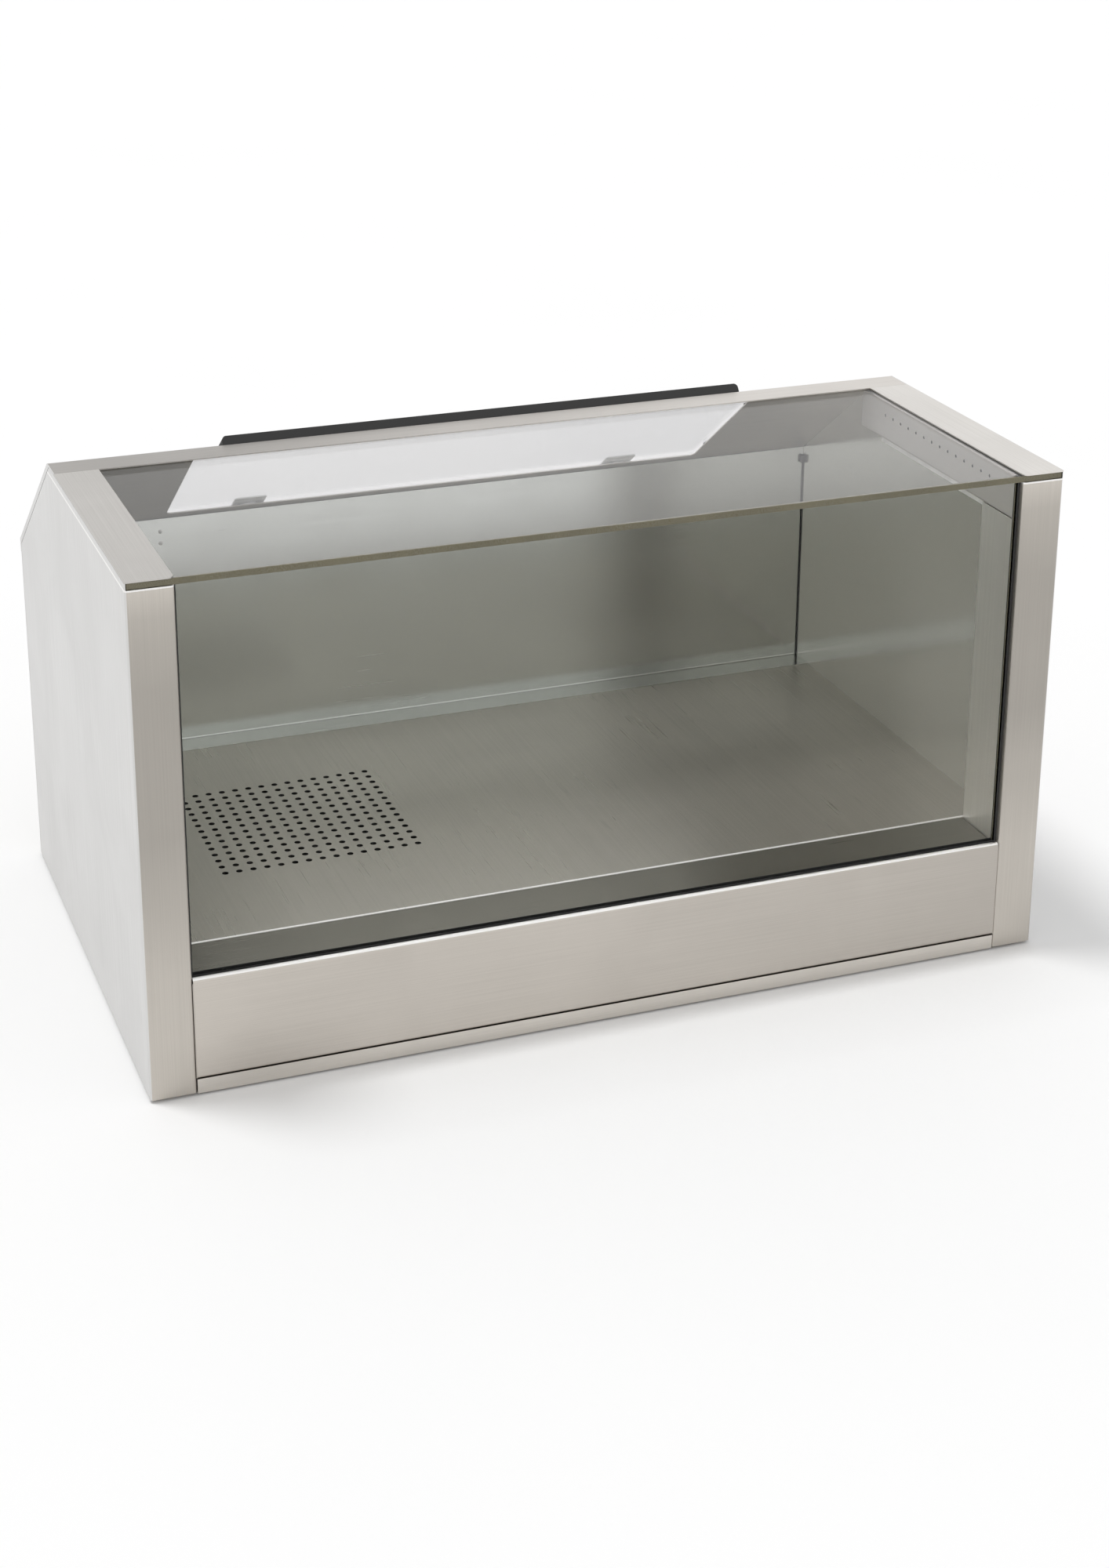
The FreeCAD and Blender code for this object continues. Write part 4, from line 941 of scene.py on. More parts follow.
@dataclass
class PunchedDeck:
    """Deck with a turned-down front edge and a field of round punched holes."""

    sheet: float = 1.2 * MM
    hem: float = 16.0 * MM
    bend: Round = (2.6 * MM, 5)
    hole_radius: float = 3.25 * MM
    roll: float = 0.12 * MM
    pitch: float = 14.0 * MM
    first: Pair = (-0.326, -0.066)
    columns: int = 15
    rows: int = 14
    sides: int = 14
    half_width: float = 0.44

    def build(self) -> Piece:
        """Folds the sheet and punches the field; returns the deck."""
        low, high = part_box("deck")
        deck = block("punched_deck", (low.x, low.y, high.z - self.sheet), tuple(high))
        turn_down(deck, low.y + self.sheet, False, self.hem - self.sheet)
        round_edges(deck, rim(X, (0.0, -1.0, 1.0), high.z - low.y), *self.bend)
        cut(deck, self._punch(high.z))
        smooth(deck)
        return deck

    def _punch(self, top: float) -> Piece:
        """Makes the punch: one tool with a flared neck, repeated over the field."""
        hole, wide = self.hole_radius, self.hole_radius + self.roll
        profile = ((hole, -THROUGH * self.sheet), (hole, -self.roll), (wide, TINY), (wide, self.sheet))
        tool = placed(turned("punch", profile, self.sides), Matrix.Translation((*self.first, top)))
        repeat(tool, self.columns, (self.pitch, 0, 0))
        repeat(tool, self.rows, (0, self.pitch, 0))
        return tool

    def dress(self) -> None:
        """Builds the deck, with painted shade on the walls of its holes, and sets it in place of the plain
        one.
        """
        deck = self.build()
        front, rear = self.first[1] - self.pitch, self.first[1] + self.pitch * self.rows

        def shaded(face: object) -> int:
            """Gives 1 for the wall of a hole, which gets painted shade, and 0 for the sheet."""
            in_field = front < face.center.y < rear and abs(face.center.x) < self.half_width
            return int(in_field and abs(face.normal.z) < STEEP)

        paint_faces(deck, (Palette.deck, Palette.hole), shaded)
        settle(deck, CABINET, "deck_steel", None, "deck")


@dataclass
class Panes:
    """Front and top glass with ground edges."""

    arris: Round = (0.7 * MM, 2)

    def dress(self) -> None:
        """Grinds both panes, paints their edges and sets them in place of the plain ones."""
        panes = (("front_pane", "front_glass", Y, Palette.front_glass),
                 ("top_pane", "top_glass", Z, Palette.top_glass))
        for name, node, axis, finish in panes:
            low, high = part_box(node)
            pane = block(name, tuple(low), tuple(high))
            round_edges(pane, lambda edge: True, *self.arris)
            paint_faces(pane, (finish, Palette.glass_edge), edges_apart(axis))
            settle(pane, CABINET, "pane_glass", None, node)


@dataclass
class ServingFlap:
    """Clear flap on the rear slope with its black grip bar."""

    half_width: float = 0.309
    start: float = 12.2 * MM
    end: float = 215.0 * MM
    lift: float = 1.5 * MM
    sheet: float = 5.0 * MM
    corner: Round = (6.0 * MM, 6)
    edge: Round = (0.8 * MM, 2)
    grip_half: float = 0.276
    grip_width: float = 11.0 * MM
    grip_height: float = 5.5 * MM
    grip_hook: float = 14.5 * MM
    grip_gap: float = 0.3 * MM
    grip_ends: Round = (4.95 * MM, 6)
    grip_shoulders: Round = (3.3 * MM, 5)
    groove: float = 1.2 * MM
    groove_depth: float = 0.81 * MM
    groove_inset: float = 7.0 * MM
    groove_pitch: float = 3.6 * MM
    grooves: int = 4
    body: ClassVar[str] = "rear_door"

    @property
    def top(self) -> float:
        """Outer face of the flap, out of the slope."""
        return self.lift + self.sheet

    def pane(self) -> Piece:
        """Makes the clear sheet with rounded corners and polished edges."""
        low = (-self.half_width, self.start, self.lift)
        pane = block("flap_pane", low, (self.half_width, self.end, self.top))
        upright = running(Z)
        round_edges(pane, upright, *self.corner)
        round_edges(pane, lambda edge: not upright(edge), *self.edge)
        paint_faces(pane, (Palette.flap, Palette.flap_edge), edges_apart(Z))
        return placed(pane, SLOPE.matrix)

    def grip(self) -> Piece:
        """Makes the grip: a rounded bar with finger grooves, hooked over the edge of the flap."""
        foot, tip = self.end - self.grip_width, self.end + self.grip_hook
        crown = self.top + self.grip_height
        grip = block("grip_bar", (-self.grip_half, foot, self.top), (self.grip_half, tip, crown))
        turn_down(grip, self.end, True, self.sheet - self.grip_gap)
        round_edges(grip, rim(Y, Z, crown), *self.grip_ends)
        round_edges(grip, rim(X, Z, crown), *self.grip_shoulders)
        first = (foot + tip - self.groove_pitch * (self.grooves - 1) - self.groove) / 2
        reach = self.grip_half - self.groove_inset
        cutter = block("groove", (-reach, first, crown - self.groove_depth),
                       (reach, first + self.groove, crown + self.groove))
        repeat(cutter, self.grooves, (0, self.groove_pitch, 0))
        cut(grip, cutter)
        smooth(grip)
        return placed(grip, SLOPE.matrix)

    def dress(self) -> None:
        """Builds the flap and its grip in place of the plain ones."""
        settle(self.pane(), self.body, "door_clear", None, "rear_door")
        settle(self.grip(), self.body, "black_plastic", Palette.black, "door_grip")


@dataclass
class Fasteners:
    """Pan-head screws with a cross recess, modelled once and copied."""

    head: float = 3.4 * MM
    rise: float = 1.7 * MM
    dome: Steps = ((1.0, 0.0), (1.0, 0.35), (0.93, 0.68), (0.76, 0.88), (0.5, 0.97), (0.2, 1.0))
    sides: int = 24
    slot: float = 0.8 * MM
    slot_depth: float = 1.1 * MM
    slot_reach: float = 0.58
    small: float = 0.62
    back_face: float = 0.270
    back_columns: tuple[float, ...] = (-0.425, -0.14, 0.14, 0.425)
    back_inset: float = 9.0 * MM
    bay_inset: float = 4.0 * MM
    hood_side: float = 0.40
    hood_rows: Pair = (0.035, 0.195)
    leaf_spread: float = 11.0 * MM
    leaf_row: float = 27.0 * MM
    leaf_face: float = 7.7 * MM
    liner_column: float = -0.305
    liner_rows: Pair = (0.338, 0.351)
    liner_above: float = 0.2

    def head_shape(self) -> Piece:
        """Makes one screw head on the origin, looking up."""
        profile = [(self.head * wide, self.rise * high) for wide, high in self.dome]
        screw = turned("screw_head", profile, self.sides)
        reach, half = self.head * self.slot_reach, self.slot / 2
        for x, y in ((reach, half), (half, reach)):
            cross = block("recess", (-x, -y, self.rise - self.slot_depth), (x, y, 2 * self.rise))
            cut(screw, cross)
        smooth(screw)
        return screw

    def _on_back(self, columns: Sequence[float], low: Vector, high: Vector, inset: float) -> list[Matrix]:
        """Lists places on the back in columns, each with one near the foot and one near the top of a box."""
        return [Matrix.Translation((x, self.back_face, z)) @ BACKWARDS
                for x in columns for z in (low.z + inset, high.z - inset)]

    def places(self) -> dict[str, list[Matrix]]:
        """Lists where the screws go, for each group of them."""
        back = self._on_back(self.back_columns, *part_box("back_panel"), self.back_inset)
        low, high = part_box("control_bay")
        bay = self._on_back((low.x + self.bay_inset, high.x - self.bay_inset), low, high, self.bay_inset)
        hood = [(x, y, 0.0) for x in (-self.hood_side, self.hood_side) for y in self.hood_rows]
        flap = [(x + dx, self.leaf_row, self.leaf_face) for x in (-Hinges.offset, Hinges.offset)
                for dx in (-self.leaf_spread, self.leaf_spread)]
        corners = [vert.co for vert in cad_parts["back_liner"].data.vertices]
        wall = min(corner.y for corner in corners if corner.z > self.liner_above)
        forwards = Matrix.Rotation(math.radians(90), 4, "X")
        small = Matrix.Scale(self.small, 4)
        return {
            "back_panel_screws": back,
            "bay_screws": [place @ small for place in bay],
            "hood_screws": [SLOPE.matrix @ Matrix.Translation(spot) for spot in hood],
            "flap_screws": [SLOPE.matrix @ Matrix.Translation(spot) @ small for spot in flap],
            "liner_screws": [Matrix.Translation((self.liner_column, wall, z)) @ forwards @ small
                             for z in self.liner_rows],
        }

    def dress(self) -> None:
        """Copies the screw to all its places."""
        model = self.head_shape()
        for name, places in self.places().items():
            body = ServingFlap.body if name == "flap_screws" else CABINET
            settle(copied(model, name, places), body, "hinge_steel", Palette.screw)
        bpy.data.objects.remove(model)


@dataclass
class Controls:
    """Knob with its dial, and the pilot lamp, in the bay at the back; profiles are in millimetres."""

    knob_at: Point = (0.393, 0.2452, BAY_MIDDLE)
    knob_body: ClassVar[str] = "thermostat_knob"
    skirt: Steps = ((17.28, 0.0), (18.0, 0.6), (18.0, 4.6), (17.37, 5.6), (16.56, 6.0))
    flutes: int = 24
    flute_facets: int = 4
    flute: Steps = ((0.9, -1.0), (0.9, 7.0))
    flute_sides: int = 10
    flute_at: float = 18.3 * MM
    bar_half: Pair = (5.0 * MM, 14.0 * MM)
    bar_foot: float = 1.0 * MM
    bar_rise: float = 17.0 * MM
    bar_taper: Point = (0.6, 0.93, 1.0)
    bar_round: float = 1.2 * MM
    pointer_half: float = 0.6 * MM
    pointer_span: Pair = (-12.0 * MM, -2.0 * MM)
    pointer_sunk: float = 0.2 * MM
    pointer_lift: float = 0.12 * MM
    pointer_round: float = 0.4 * MM
    ticks: int = 10
    sweep: float = 270.0
    tick_radius: float = 22.0 * MM
    tick_half: Pair = (0.9 * MM, 0.45 * MM)
    tick_length: Pair = (5.0 * MM, 3.0 * MM)
    tick_lift: float = 0.15 * MM
    tick_round: Round = (0.3 * MM, 2)
    lamp_x: float = 0.262
    lamp_sides: int = 40
    bezel: Steps = ((7.5, 0.0), (7.5, 0.9), (6.9, 1.5), (6.1, 1.7), (5.9, 1.2))
    lens: Point = (5.6 * MM, 4.6 * MM, 1.2 * MM)
    lens_angles: tuple[float, ...] = (0.0, 0.3, 0.6, 0.9, 1.15, 1.4)

    @property
    def knob_place(self) -> Matrix:
        """Place and turn of the knob, modelled upright."""
        return Matrix.Translation(self.knob_at) @ BACKWARDS

    def knob(self) -> Piece:
        """Makes the fluted knob with its grip bar."""
        knob = turned("dial_knob", millimetres(self.skirt), self.flutes * self.flute_facets)
        cutter = turned("flute", millimetres(self.flute), self.flute_sides)
        placed(cutter, Matrix.Translation((self.flute_at, 0, 0)))
        turn = 2 * math.pi / self.flutes
        cutters = [cutter]
        for i in range(1, self.flutes):
            cutters.append(twin(cutter, f"flute_{i}", Matrix.Rotation(turn * i, 4, "Z")))
        cut(knob, joined("flutes", cutters))
        x, y = self.bar_half
        grip = block("bar", (-x, -y, self.bar_foot), (x, y, self.bar_rise))
        with editing(grip):
            pick(grip, Pick.FACES, facing(Z))
            bpy.ops.transform.resize(value=self.bar_taper, center_override=(0, 0, self.bar_rise))
        top = self.bar_rise - TINY
        round_edges(grip, lambda edge: all(vert.co.z > top for vert in edge.verts), self.bar_round)
        fuse(knob, grip)
        smooth(knob)
        return placed(knob, self.knob_place)

    def pointer(self) -> Piece:
        """Makes the white line on the knob's grip bar."""
        start, end = self.pointer_span
        line = block("knob_pointer", (-self.pointer_half, start, self.bar_rise - self.pointer_sunk),
                     (self.pointer_half, end, self.bar_rise + self.pointer_lift))
        round_edges(line, running(Z), self.pointer_round)
        return placed(line, self.knob_place)

    def scale_ring(self) -> Piece:
        """Makes the ring of ticks round the knob, clockwise from the top for the operator."""
        at = Matrix.Translation((self.knob_at[0], BAY_FACE, self.knob_at[2])) @ BACKWARDS
        ticks = []
        for i in range(self.ticks + 1):
            half = self.tick_half[0 if i in (0, self.ticks) else 1]
            length = self.tick_length[0 if i % (self.ticks // 2) == 0 else 1]
            tip = self.tick_radius + length
            tick = block(f"tick_{i}", (-half, self.tick_radius, 0), (half, tip, self.tick_lift))
            round_edges(tick, running(Z), *self.tick_round)
            angle = math.pi - math.radians(self.sweep) * i / self.ticks
            ticks.append(placed(tick, at @ Matrix.Rotation(angle, 4, "Z")))
        return joined("dial_ticks", ticks)

    def lamp(self) -> tuple[Piece, Piece]:
        """Makes the pilot lamp's black bezel and its domed amber lens."""
        at = Matrix.Translation((self.lamp_x, BAY_FACE, BAY_MIDDLE)) @ BACKWARDS
        radius, rise, seat = self.lens
        dome = [(radius * math.cos(angle), seat + rise * math.sin(angle)) for angle in self.lens_angles]
        bezel = turned("lamp_bezel", millimetres(self.bezel), self.lamp_sides)
        return placed(bezel, at), placed(turned("lamp_lens", dome, self.lamp_sides), at)

    def dress(self) -> None:
        """Builds the controls in place of the plain ones."""
        settle(self.knob(), self.knob_body, "black_plastic", Palette.black, "thermostat_knob")
        settle(self.pointer(), self.knob_body, "light_cover", Palette.mark)
        settle(self.scale_ring(), CABINET, "light_cover", Palette.mark)
        bezel, lens = self.lamp()
        settle(bezel, CABINET, "black_plastic", Palette.black)
        settle(lens, CABINET, "lamp_amber", Palette.amber, "pilot_lamp")


@dataclass
class Hinges:
    """Two butt hinges at the foot of the flap, with round knuckles and leaves with rounded corners."""

    offset: float = 210.0 * MM
    along: float = 8.0 * MM
    lift: float = 5.0 * MM
    radius: float = 3.4 * MM
    bore: float = 1.66 * MM
    sides: int = 36
    soft: float = 0.25 * MM
    knuckle: float = 16.0 * MM
    side_knuckle: float = 9.0 * MM
    gap: float = 0.3 * MM
    plate: float = 1.2 * MM
    overlap: float = 1.0 * MM
    fixed_end: float = 21.8 * MM
    moving_start: float = 11.7 * MM
    moving_end: float = 34.2 * MM
    flap_face: float = 6.5 * MM
    corner: Round = (3.0 * MM, 5)

    def _barrel(self, name: str, radius: float, start: float, end: float, soft: float = 0.0) -> Piece:
        """Makes a bar on the hinge's axis, drawn flat."""
        ends = [(x, self.along, self.lift) for x in (start, end)]
        return bar(name, radius, *ends, self.sides, soft)

    def _plate(self, half: float, start: float, end: float, low: float) -> Piece:
        """Makes a leaf's plate, drawn flat, with rounded corners at its far end."""
        plate = block("plate", (-half, start, low), (half, end, low + self.plate))
        round_edges(plate, rim(Z, Y, end), *self.corner)
        return plate

    def _bored(self, leaf: Piece, half: float) -> Piece:
        """Bores a leaf for its pin and cleans it."""
        cut(leaf, self._barrel("bore", self.bore, -2 * half, 2 * half))
        weld(leaf)
        smooth(leaf)
        return leaf

    def fixed(self) -> Piece:
        """Makes the leaf that is fixed to the slope."""
        half = self.knuckle / 2
        leaf = self._barrel("fixed_leaf", self.radius, -half, half, self.soft)
        foot = self.along - self.radius
        fuse(leaf, block("web", (-half, foot, 0.0), (half, self.along, self.lift)))
        fuse(leaf, self._plate(half, foot, self.fixed_end, 0.0))
        return self._bored(leaf, half)

    def moving(self) -> Piece:
        """Makes the leaf that is screwed to the flap, with a white pad under it."""
        inner = self.knuckle / 2 + self.gap
        outer = inner + self.side_knuckle
        leaf = self._plate(outer, self.moving_start, self.moving_end, self.flap_face)
        end, top = self.moving_start + self.overlap, self.flap_face + self.plate
        for left, right in ((-outer, -inner), (inner, outer)):
            fuse(leaf, block("arm", (left, self.along, self.flap_face), (right, end, top)))
            fuse(leaf, self._barrel("knuckle", self.radius, left, right, self.soft))
        self._bored(leaf, outer)
        downwards = facing(DOWN)
        paint_faces(leaf, (Palette.hinge, Palette.pad),
                    lambda face: int(downwards(face) and face.center.y > self.moving_start))
        return leaf

    def dress(self) -> None:
        """Builds both hinges in place of the plain ones."""
        places = [SLOPE.matrix @ Matrix.Translation((x, 0.0, 0.0)) for x in (-self.offset, self.offset)]
        jobs = ((self.fixed(), "fixed_leaves", CABINET, "hinge_frame_leaves"),
                (self.moving(), "moving_leaves", ServingFlap.body, "hinge_door_leaves"))
        for model, name, body, node in jobs:
            settle(copied(model, name, places), body, "hinge_steel", Palette.hinge, node)
            bpy.data.objects.remove(model)


@dataclass
class CornerProbe:
    """Thin black line of the temperature probe in the right rear corner, with its bulb at the top."""

    corner: Pair = (0.441, 0.261)
    line: float = 0.6 * MM
    line_inset: float = 0.75 * MM
    line_sides: int = 20
    line_soft: float = 0.2 * MM
    foot: float = 0.1145
    bulb: float = 2.4 * MM
    bulb_inset: float = 2.7 * MM
    bulb_sides: int = 24
    bulb_soft: float = 0.9 * MM
    neck: float = 0.3470
    top: float = 0.3560
    overlap: float = 2.0 * MM

    def _upright(self, name: str, inset: float, low: float, high: float,
                 radius: float, *rest: float) -> Piece:
        """Makes an upright bar at a distance from both walls of the corner."""
        x, y = self.corner[0] - inset, self.corner[1] - inset
        return bar(name, radius, (x, y, low), (x, y, high), *rest)

    def dress(self) -> None:
        """Builds the probe in place of the plain one."""
        line = self._upright("probe_line", self.line_inset, self.foot, self.neck + self.overlap, self.line,
                             self.line_sides, self.line_soft)
        bulb = self._upright("probe_bulb", self.bulb_inset, self.neck, self.top, self.bulb,
                             self.bulb_sides, self.bulb_soft)
        probe = joined("corner_probe", [line, bulb])
        settle(probe, CABINET, "black_plastic", Palette.black, "temperature_probe")


@dataclass
class JointStrips:
    """Steel strips that back the thin joints between the front cover and the posts."""

    across: float = 406.7 * MM
    half: float = 0.27 * MM
    face: float = -0.2696
    back: float = -0.2688
    foot: float = 0.0175
    top: float = 0.1135
    soft: float = 0.08 * MM

    def dress(self) -> None:
        """Builds the left strip and its twin on the right."""
        low = (-self.across - self.half, self.face, self.foot)
        strip = block("left_joint_strip", low, (-self.across + self.half, self.back, self.top))
        soften(strip, self.soft)
        for piece in (strip, mirrored(strip, "right_joint_strip")):
            settle(piece, CABINET, "steel_skin", Palette.fascia)


@dataclass
class Feet:
    """Push-in rubber feet with a rounded tread and a collar; the profile is in millimetres."""

    across: float = 428.8 * MM
    along: float = 234.0 * MM
    sides: int = 40
    profile: Steps = ((10.8, 0.0), (11.7, 0.3), (12.3, 0.9), (12.8, 1.9), (13.0, 2.5), (12.7, 3.0),
                      (3.8, 3.0), (3.8, 7.2), (3.1, 8.0))

    def dress(self) -> None:
        """Turns one foot and copies it under the four corners."""
        model = turned("foot", millimetres(self.profile), self.sides)
        places = [Matrix.Translation((x, y, 0.0)) for x in (-self.across, self.across)
                  for y in (-self.along, self.along)]
        settle(copied(model, "feet", places), CABINET, "gasket_rubber", Palette.gasket, "rubber_feet")
        bpy.data.objects.remove(model)


@dataclass
class SideDucts:
    """Upper side ducts with a row of round outlet holes, and the ribbed covers of the lamps under them."""

    sheet: float = 1.2 * MM
    bend: Round = (2.7 * MM, 5)
    hole_radius: float = 1.6 * MM
    hole_sides: int = 20
    hole_pitch: float = 16.5 * MM
    hole_count: int = 14
    first_hole: float = -0.207
    hole_height: float = 0.477
    cover_round: Round = (1.2 * MM, 4)
    rib_pitch: float = 4.0 * MM
    rib_depth: float = 0.5 * MM

    def duct(self) -> Piece:
        """Folds the left duct and punches its holes."""
        low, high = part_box("left_duct_valance")
        duct = block("left_duct", tuple(low), tuple(high))
        round_edges(duct, rim(Y, X, high.x), *self.bend)
        hollow = block("hollow", (low.x - MM, low.y - MM, low.z + self.sheet),
                       (high.x - self.sheet, high.y + MM, high.z - self.sheet))
        cut(duct, hollow)
        start = (high.x - THROUGH * self.sheet, self.first_hole, self.hole_height)
        punch = bar("punch", self.hole_radius, start, (high.x + MM, *start[1:]), self.hole_sides)
        repeat(punch, self.hole_count, (0, self.hole_pitch, 0))
        cut(duct, punch)
        smooth(duct)
        return duct

    def cover(self) -> Piece:
        """Makes the left lamp cover: a bowed strip with ribs across it."""
        low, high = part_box("left_light_lens")
        cover = block("left_lamp_cover", tuple(low), tuple(high))
        round_edges(cover, rim(Y, DOWN, -low.z), *self.cover_round)
        start, end = low.y + self.rib_pitch / 2, low.y + self.rib_pitch
        groove = block("groove", (low.x - MM, start, low.z - MM), (high.x + MM, end, low.z + self.rib_depth))
        repeat(groove, int((high.y - low.y) / self.rib_pitch) - 1, (0, self.rib_pitch, 0))
        cut(cover, groove)
        return cover

    def dress(self) -> None:
        """Builds the ducts, with painted shade on the walls of their holes, and the covers in place of the
        plain ones.
        """
        duct, cover = self.duct(), self.cover()
        front, rear = self.first_hole - self.hole_pitch, self.first_hole + self.hole_pitch * self.hole_count

        def shaded(face: object) -> int:
            """Gives 1 for the wall of a hole, which gets painted shade, and 0 for the sheet."""
            in_row = front < face.center.y < rear and abs(face.center.z - self.hole_height) < self.hole_radius
            return int(in_row and abs(face.normal.x) < STEEP)

        paint_faces(duct, (Palette.valance, Palette.hole), shaded)
        jobs = ((duct, "left_duct_valance", "polished_liner"),
                (mirrored(duct, "right_duct"), "right_duct_valance", "polished_liner"),
                (cover, "left_light_lens", "light_cover"),
                (mirrored(cover, "right_lamp_cover"), "right_light_lens", "light_cover"))
        for piece, node, slot in jobs:
            settle(piece, CABINET, slot, Palette.cover, node)


@dataclass
class BackPanel:
    """Back panel with folded sides, rounded intake slots and the opening for the controls."""

    sheet: float = 1.2 * MM
    outer_bend: Round = (2.7 * MM, 5)
    inner_bend: Round = (1.5 * MM, 4)
    opening: tuple[float, float, float, float] = (0.150, 0.430, 0.030, 0.100)
    corner: Round = (3.0 * MM, 5)
    slot_half: Pair = (38.0 * MM, 2.5 * MM)
    slot_round: Round = (2.3 * MM, 5)
    slot_first: Pair = (-0.352, 0.042)
    slot_pitch: Pair = (92.0 * MM, 12.0 * MM)
    slots: tuple[int, int] = (3, 5)

    def build(self) -> Piece:
        """Folds the sheet, then cuts the opening and the slots."""
        low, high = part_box("back_panel")
        panel = block("vented_back", tuple(low), tuple(high))
        round_edges(panel, rim(Z, Y, high.y), *self.outer_bend)
        inside = block("inside", (low.x + self.sheet, low.y - MM, low.z - MM),
                       (high.x - self.sheet, high.y - self.sheet, high.z + MM))
        round_edges(inside, running(Z), *self.inner_bend)
        cut(panel, inside)
        front, back = high.y - THROUGH * self.sheet, high.y + self.sheet
        outwards = running(Y)
        left, right, foot, top = self.opening
        window = block("window", (left, front, foot), (right, back, top))
        round_edges(window, outwards, *self.corner)
        cut(panel, window)
        (x, z), (dx, dz) = self.slot_first, self.slot_half
        slot = block("slot", (x - dx, front, z - dz), (x + dx, back, z + dz))
        round_edges(slot, outwards, *self.slot_round)
        repeat(slot, self.slots[0], (self.slot_pitch[0], 0, 0))
        repeat(slot, self.slots[1], (0, 0, self.slot_pitch[1]))
        cut(panel, slot)
        smooth(panel)
        return panel

    def dress(self) -> None:
        """Builds the panel in place of the plain one."""
        settle(self.build(), CABINET, "steel_skin", Palette.back, "back_panel")


@dataclass
class Switches:
    """Two rocker switches: bezels with soft edges, and dished rockers with a line and a ring on them."""

    width: float = 18.0 * MM
    half: float = 12.5 * MM
    half_sides: int = 96
    gap: float = 0.4 * MM
    pivot_lift: float = 0.5 * MM
    root: float = 4.0 * MM
    valley: float = 2.5 * MM
    dish: float = 40.2 * MM
    dish_sides: int = 192
    cap_soft: float = 0.45 * MM
    tilt: float = 8.0
    bezel: float = 2.0 * MM
    bezel_corner: Round = (2.0 * MM, 4)
    bezel_soft: float = 0.4 * MM
    case_inset: float = 2.2 * MM
    well: Pair = (6.0 * MM, 9.0 * MM)
    mark_at: float = 6.4 * MM
    mark_lift: float = 0.12 * MM
    line: Pair = (0.55 * MM, 2.6 * MM)
    line_round: float = 0.4 * MM
    ring: Pair = (2.7 * MM, 1.7 * MM)
    ring_sides: int = 36

    def rocker(self) -> Piece:
        """Makes one rocker with its pivot on the origin."""
        half, past, far = self.width / 2, self.width, 2 * self.half
        cap = bar("rocker_cap", self.half, (-half, 0, 0), (half, 0, 0), self.half_sides)
        cut(cap, block("back", (-past, -far, -far), (past, -self.root, far)))
        centre = self.valley + self.dish
        hollow = bar("dish", self.dish, (-past, centre, 0), (past, centre, 0), self.dish_sides)
        cut(cap, hollow)
        soften(cap, self.cap_soft)
        weld(cap)
        return cap

    def marks(self) -> Piece:
        """Makes the line and the ring that show on and off, lying on the dished face."""
        x, y = self.line
        lift = self.mark_lift
        line = block("on_line", (-x, -y, -lift), (x, y, lift))
        round_edges(line, running(Z), self.line_round)
        outer, inner = self.ring
        ring = turned("off_ring", ((outer, -lift), (outer, lift)), self.ring_sides)
        cut(ring, turned("eye", ((inner, -MM), (inner, MM)), self.ring_sides))
        for piece, rise in ((line, self.mark_at), (ring, -self.mark_at)):
            face = self.valley + self.dish - math.sqrt(self.dish ** 2 - rise ** 2)
            lean = Matrix.Rotation(-math.asin(rise / self.dish), 4, "X")
            placed(piece, Matrix.Translation((0.0, face, rise)) @ lean @ BACKWARDS)
        return joined("rocker_marks", [line, ring])

    def case(self, node: str) -> Piece:
        """Makes one switch's case and bezel, with the well that the rocker lies in."""
        low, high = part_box(node)
        middle, inset = (low.x + high.x) / 2, self.case_inset
        case = block(f"{node}_bezel", (low.x, BAY_FACE, low.z), (high.x, BAY_FACE + self.bezel, high.z))
        round_edges(case, running(Y), *self.bezel_corner)
        fuse(case, block("case", (low.x + inset, low.y, low.z + inset),
                         (high.x - inset, BAY_FACE + MM, high.z - inset)))
        reach, tall = self.width / 2 + self.gap, self.half + self.gap
        deep, out = self.well
        well = block("well", (middle - reach, BAY_FACE - deep, BAY_MIDDLE - tall),
                     (middle + reach, BAY_FACE + out, BAY_MIDDLE + tall))
        cut(case, well)
        soften(case, self.bezel_soft)
        return case

    def dress(self) -> None:
        """Builds both switches in place of the plain ones."""
        rocker, marks = self.rocker(), self.marks()
        kinds = (("power", "rocker_red", Palette.red), ("light", "rocker_black", Palette.black))
        for name, slot, finish in kinds:
            node, body = f"{name}_rocker", f"{name}_switch_body"
            low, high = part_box(node)
            pivot = ((low.x + high.x) / 2, BAY_FACE + self.pivot_lift, BAY_MIDDLE)
            place = Matrix.Translation(pivot) @ Matrix.Rotation(math.radians(self.tilt), 4, "X")
            settle(twin(rocker, f"{name}_rocker_cap", place), node, slot, finish, node)
            settle(twin(marks, f"{name}_rocker_marks", place), node, "light_cover", Palette.mark)
            settle(self.case(body), CABINET, "black_plastic", Palette.black, body)
        for model in (rocker, marks):
            bpy.data.objects.remove(model)


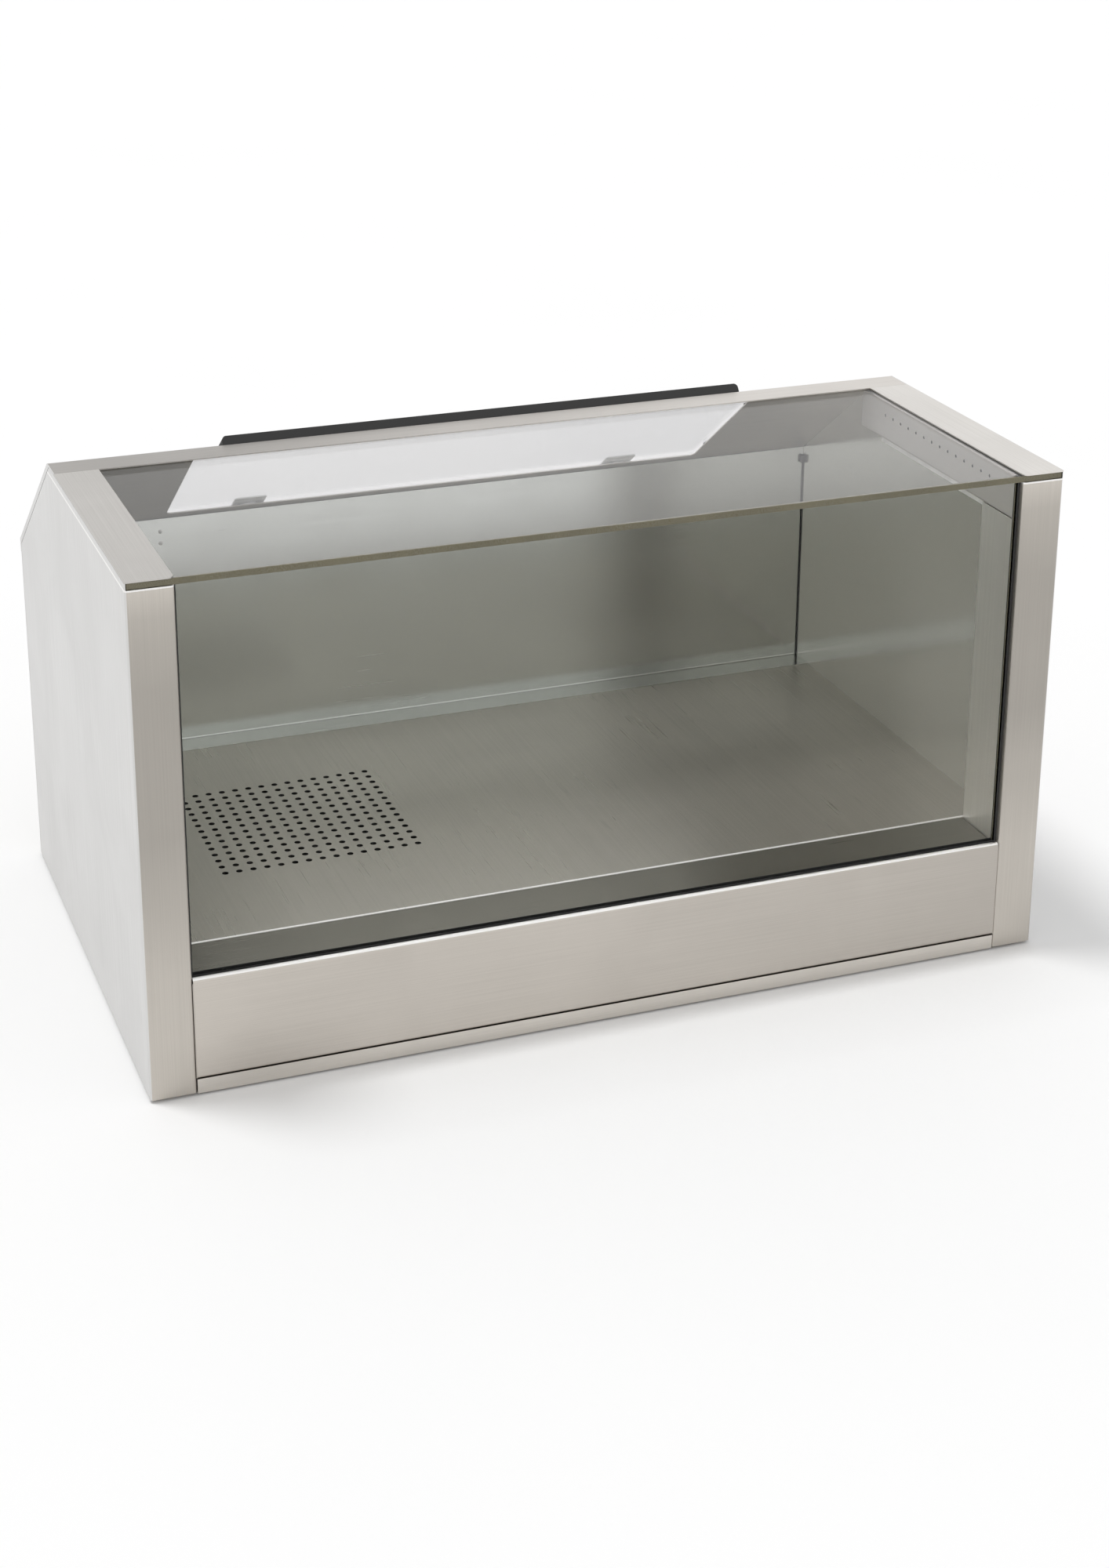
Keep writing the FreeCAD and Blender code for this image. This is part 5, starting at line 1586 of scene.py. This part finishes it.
@dataclass
class PowerInlet:
    """Appliance inlet with a rounded flange, a shaped socket and three blades, placed in millimetres."""

    across: float = 0.203
    socket_half: Pair = (12.2 * MM, 8.2 * MM)
    socket_depth: float = 16.0 * MM
    flange: float = 2.5 * MM
    case_border: float = 1.8 * MM
    corner: Round = (3.0 * MM, 5)
    shoulder: Round = (4.0 * MM, 1)
    soft: float = 0.4 * MM
    blade_half: Pair = (1.0 * MM, 2.0 * MM)
    blade_soft: float = 0.35 * MM
    blades: Steps = ((-7.0, -2.0), (7.0, -2.0), (0.0, 3.0))

    def _through(self, name: str, half: Pair, front: float, back: float, at: Pair = (0.0, 0.0)) -> Piece:
        """Makes a block through the inlet's face, by half its width and height and its offset there."""
        (dx, dz), x, z = half, self.across + at[0], BAY_MIDDLE + at[1]
        return block(name, (x - dx, front, z - dz), (x + dx, back, z + dz))

    def build(self) -> Piece:
        """Makes the moulded flange and case with the socket cut into it."""
        low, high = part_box("power_inlet")
        face = BAY_FACE + self.flange
        inlet = block("inlet_flange", (low.x, BAY_FACE, low.z), (high.x, face, high.z))
        round_edges(inlet, running(Y), *self.corner)
        case = tuple(half + self.case_border for half in self.socket_half)
        fuse(inlet, self._through("case", case, low.y, BAY_FACE + MM))
        mouth = self._through("mouth", self.socket_half, face - self.socket_depth, high.y + MM)
        round_edges(mouth, rim(Y, Z, BAY_MIDDLE + self.socket_half[1]), *self.shoulder)
        cut(inlet, mouth)
        soften(inlet, self.soft)
        return inlet

    def contacts(self) -> Piece:
        """Makes the three blades."""
        pieces = []
        root, tip = BAY_FACE - self.socket_depth, BAY_FACE - MM
        for i, at in enumerate(millimetres(self.blades)):
            blade = self._through(f"blade_{i}", self.blade_half, root, tip, at)
            soften(blade, self.blade_soft)
            pieces.append(blade)
        return joined("inlet_blades", pieces)

    def dress(self) -> None:
        """Builds the inlet in place of the plain one."""
        settle(self.build(), CABINET, "black_plastic", Palette.black, "power_inlet")
        settle(self.contacts(), CABINET, "shaft_steel", Palette.shaft)


@dataclass
class Studio:
    """Pale floor, soft light and the camera."""

    floor_half: float = 40.0
    camera_at: Point = (-0.8514, -2.326, 1.2669)
    pitch: float = 90.0 - 19.588
    heading: float = -19.85
    lens: float = 60.64
    shift: Pair = (0.03, -0.15)
    surround: float = 0.68
    floor_colour: Colour = (0.97, 0.97, 0.97)
    floor_tone: float = 0.99
    floor_patches: float = 1.4
    floor_roughness: float = 0.7
    floor_gloss: float = 0.2
    key_from: Point = (-0.9, 0.55, 3.4)
    key_power: float = 1.2
    key_width: float = 14.0

    def floor(self) -> None:
        """Lays the floor, with a soft uneven tone."""
        clear_selection()
        bpy.ops.mesh.primitive_plane_add(size=2 * self.floor_half, location=(0, 0, 0))
        floor = bpy.context.object
        floor.name = "floor"
        set_down(floor)
        material, graph, shader = start_material("floor_pale")
        tone = graph.spread(graph.noise(graph.here(), self.floor_patches, detail=2.0), *NOISE)
        darker = opaque(self.floor_colour, self.floor_tone)
        graph.feed(shader, {
            "Base Color": graph.blend(tone, opaque(self.floor_colour), darker),
            "Roughness": self.floor_roughness,
            "Specular IOR Level": self.floor_gloss,
        })
        floor.data.materials.append(material)

    def world(self) -> None:
        """Surrounds the object with white for the eye, metal and glass, and softer light for the rest."""
        world = bpy.data.worlds.new("surround")
        bpy.context.scene.world = world
        world.use_nodes = True
        graph = Graph(world.node_tree)
        path = graph.add("ShaderNodeLightPath").outputs
        seen = graph.math("MAXIMUM", path["Is Camera Ray"], path["Is Glossy Ray"])
        seen = graph.math("MAXIMUM", seen, path["Is Transmission Ray"])
        strength = graph.spread(seen, 0.0, 1.0, self.surround, 1.0)
        graph.feed(world.node_tree.nodes["Background"], {"Color": (1.0, 1.0, 1.0, 1.0), "Strength": strength})

    def light(self) -> None:
        """Hangs one broad soft lamp far off, which metal doesn't mirror."""
        lamp = bpy.data.lights.new("soft_key", "SUN")
        lamp.energy = self.key_power
        lamp.angle = math.radians(self.key_width)
        holder = bpy.data.objects.new("soft_key", lamp)
        holder.location = self.key_from
        holder.rotation_euler = (-Vector(self.key_from)).to_track_quat("-Z", "Y").to_euler()
        holder.visible_glossy = False
        bpy.context.scene.collection.objects.link(holder)

    def camera(self) -> None:
        """Sets the camera at the viewing angle."""
        eye = bpy.data.cameras.new("camera")
        eye.lens = self.lens
        eye.shift_x, eye.shift_y = self.shift
        holder = bpy.data.objects.new("camera", eye)
        holder.location = self.camera_at
        holder.rotation_euler = (math.radians(self.pitch), 0.0, math.radians(self.heading))
        bpy.context.scene.collection.objects.link(holder)
        bpy.context.scene.camera = holder

    def build(self) -> None:
        """Sets up the studio."""
        self.camera()
        self.floor()
        self.world()
        self.light()
        bpy.context.scene.view_settings.view_transform = "Standard"


def main() -> None:
    """Builds the studio, dresses the cabinet and adds the finer pieces in order."""
    logging.basicConfig(level=logging.INFO, format="%(message)s")
    Studio().build()
    for assembly in (Cabinet, PunchedDeck, Panes, ServingFlap, Hinges, SideDucts, BackPanel, Feet,
                     CornerProbe, JointStrips, Fasteners, Controls, Switches, PowerInlet):
        assembly().dress()


if __name__ == "__main__":
    main()
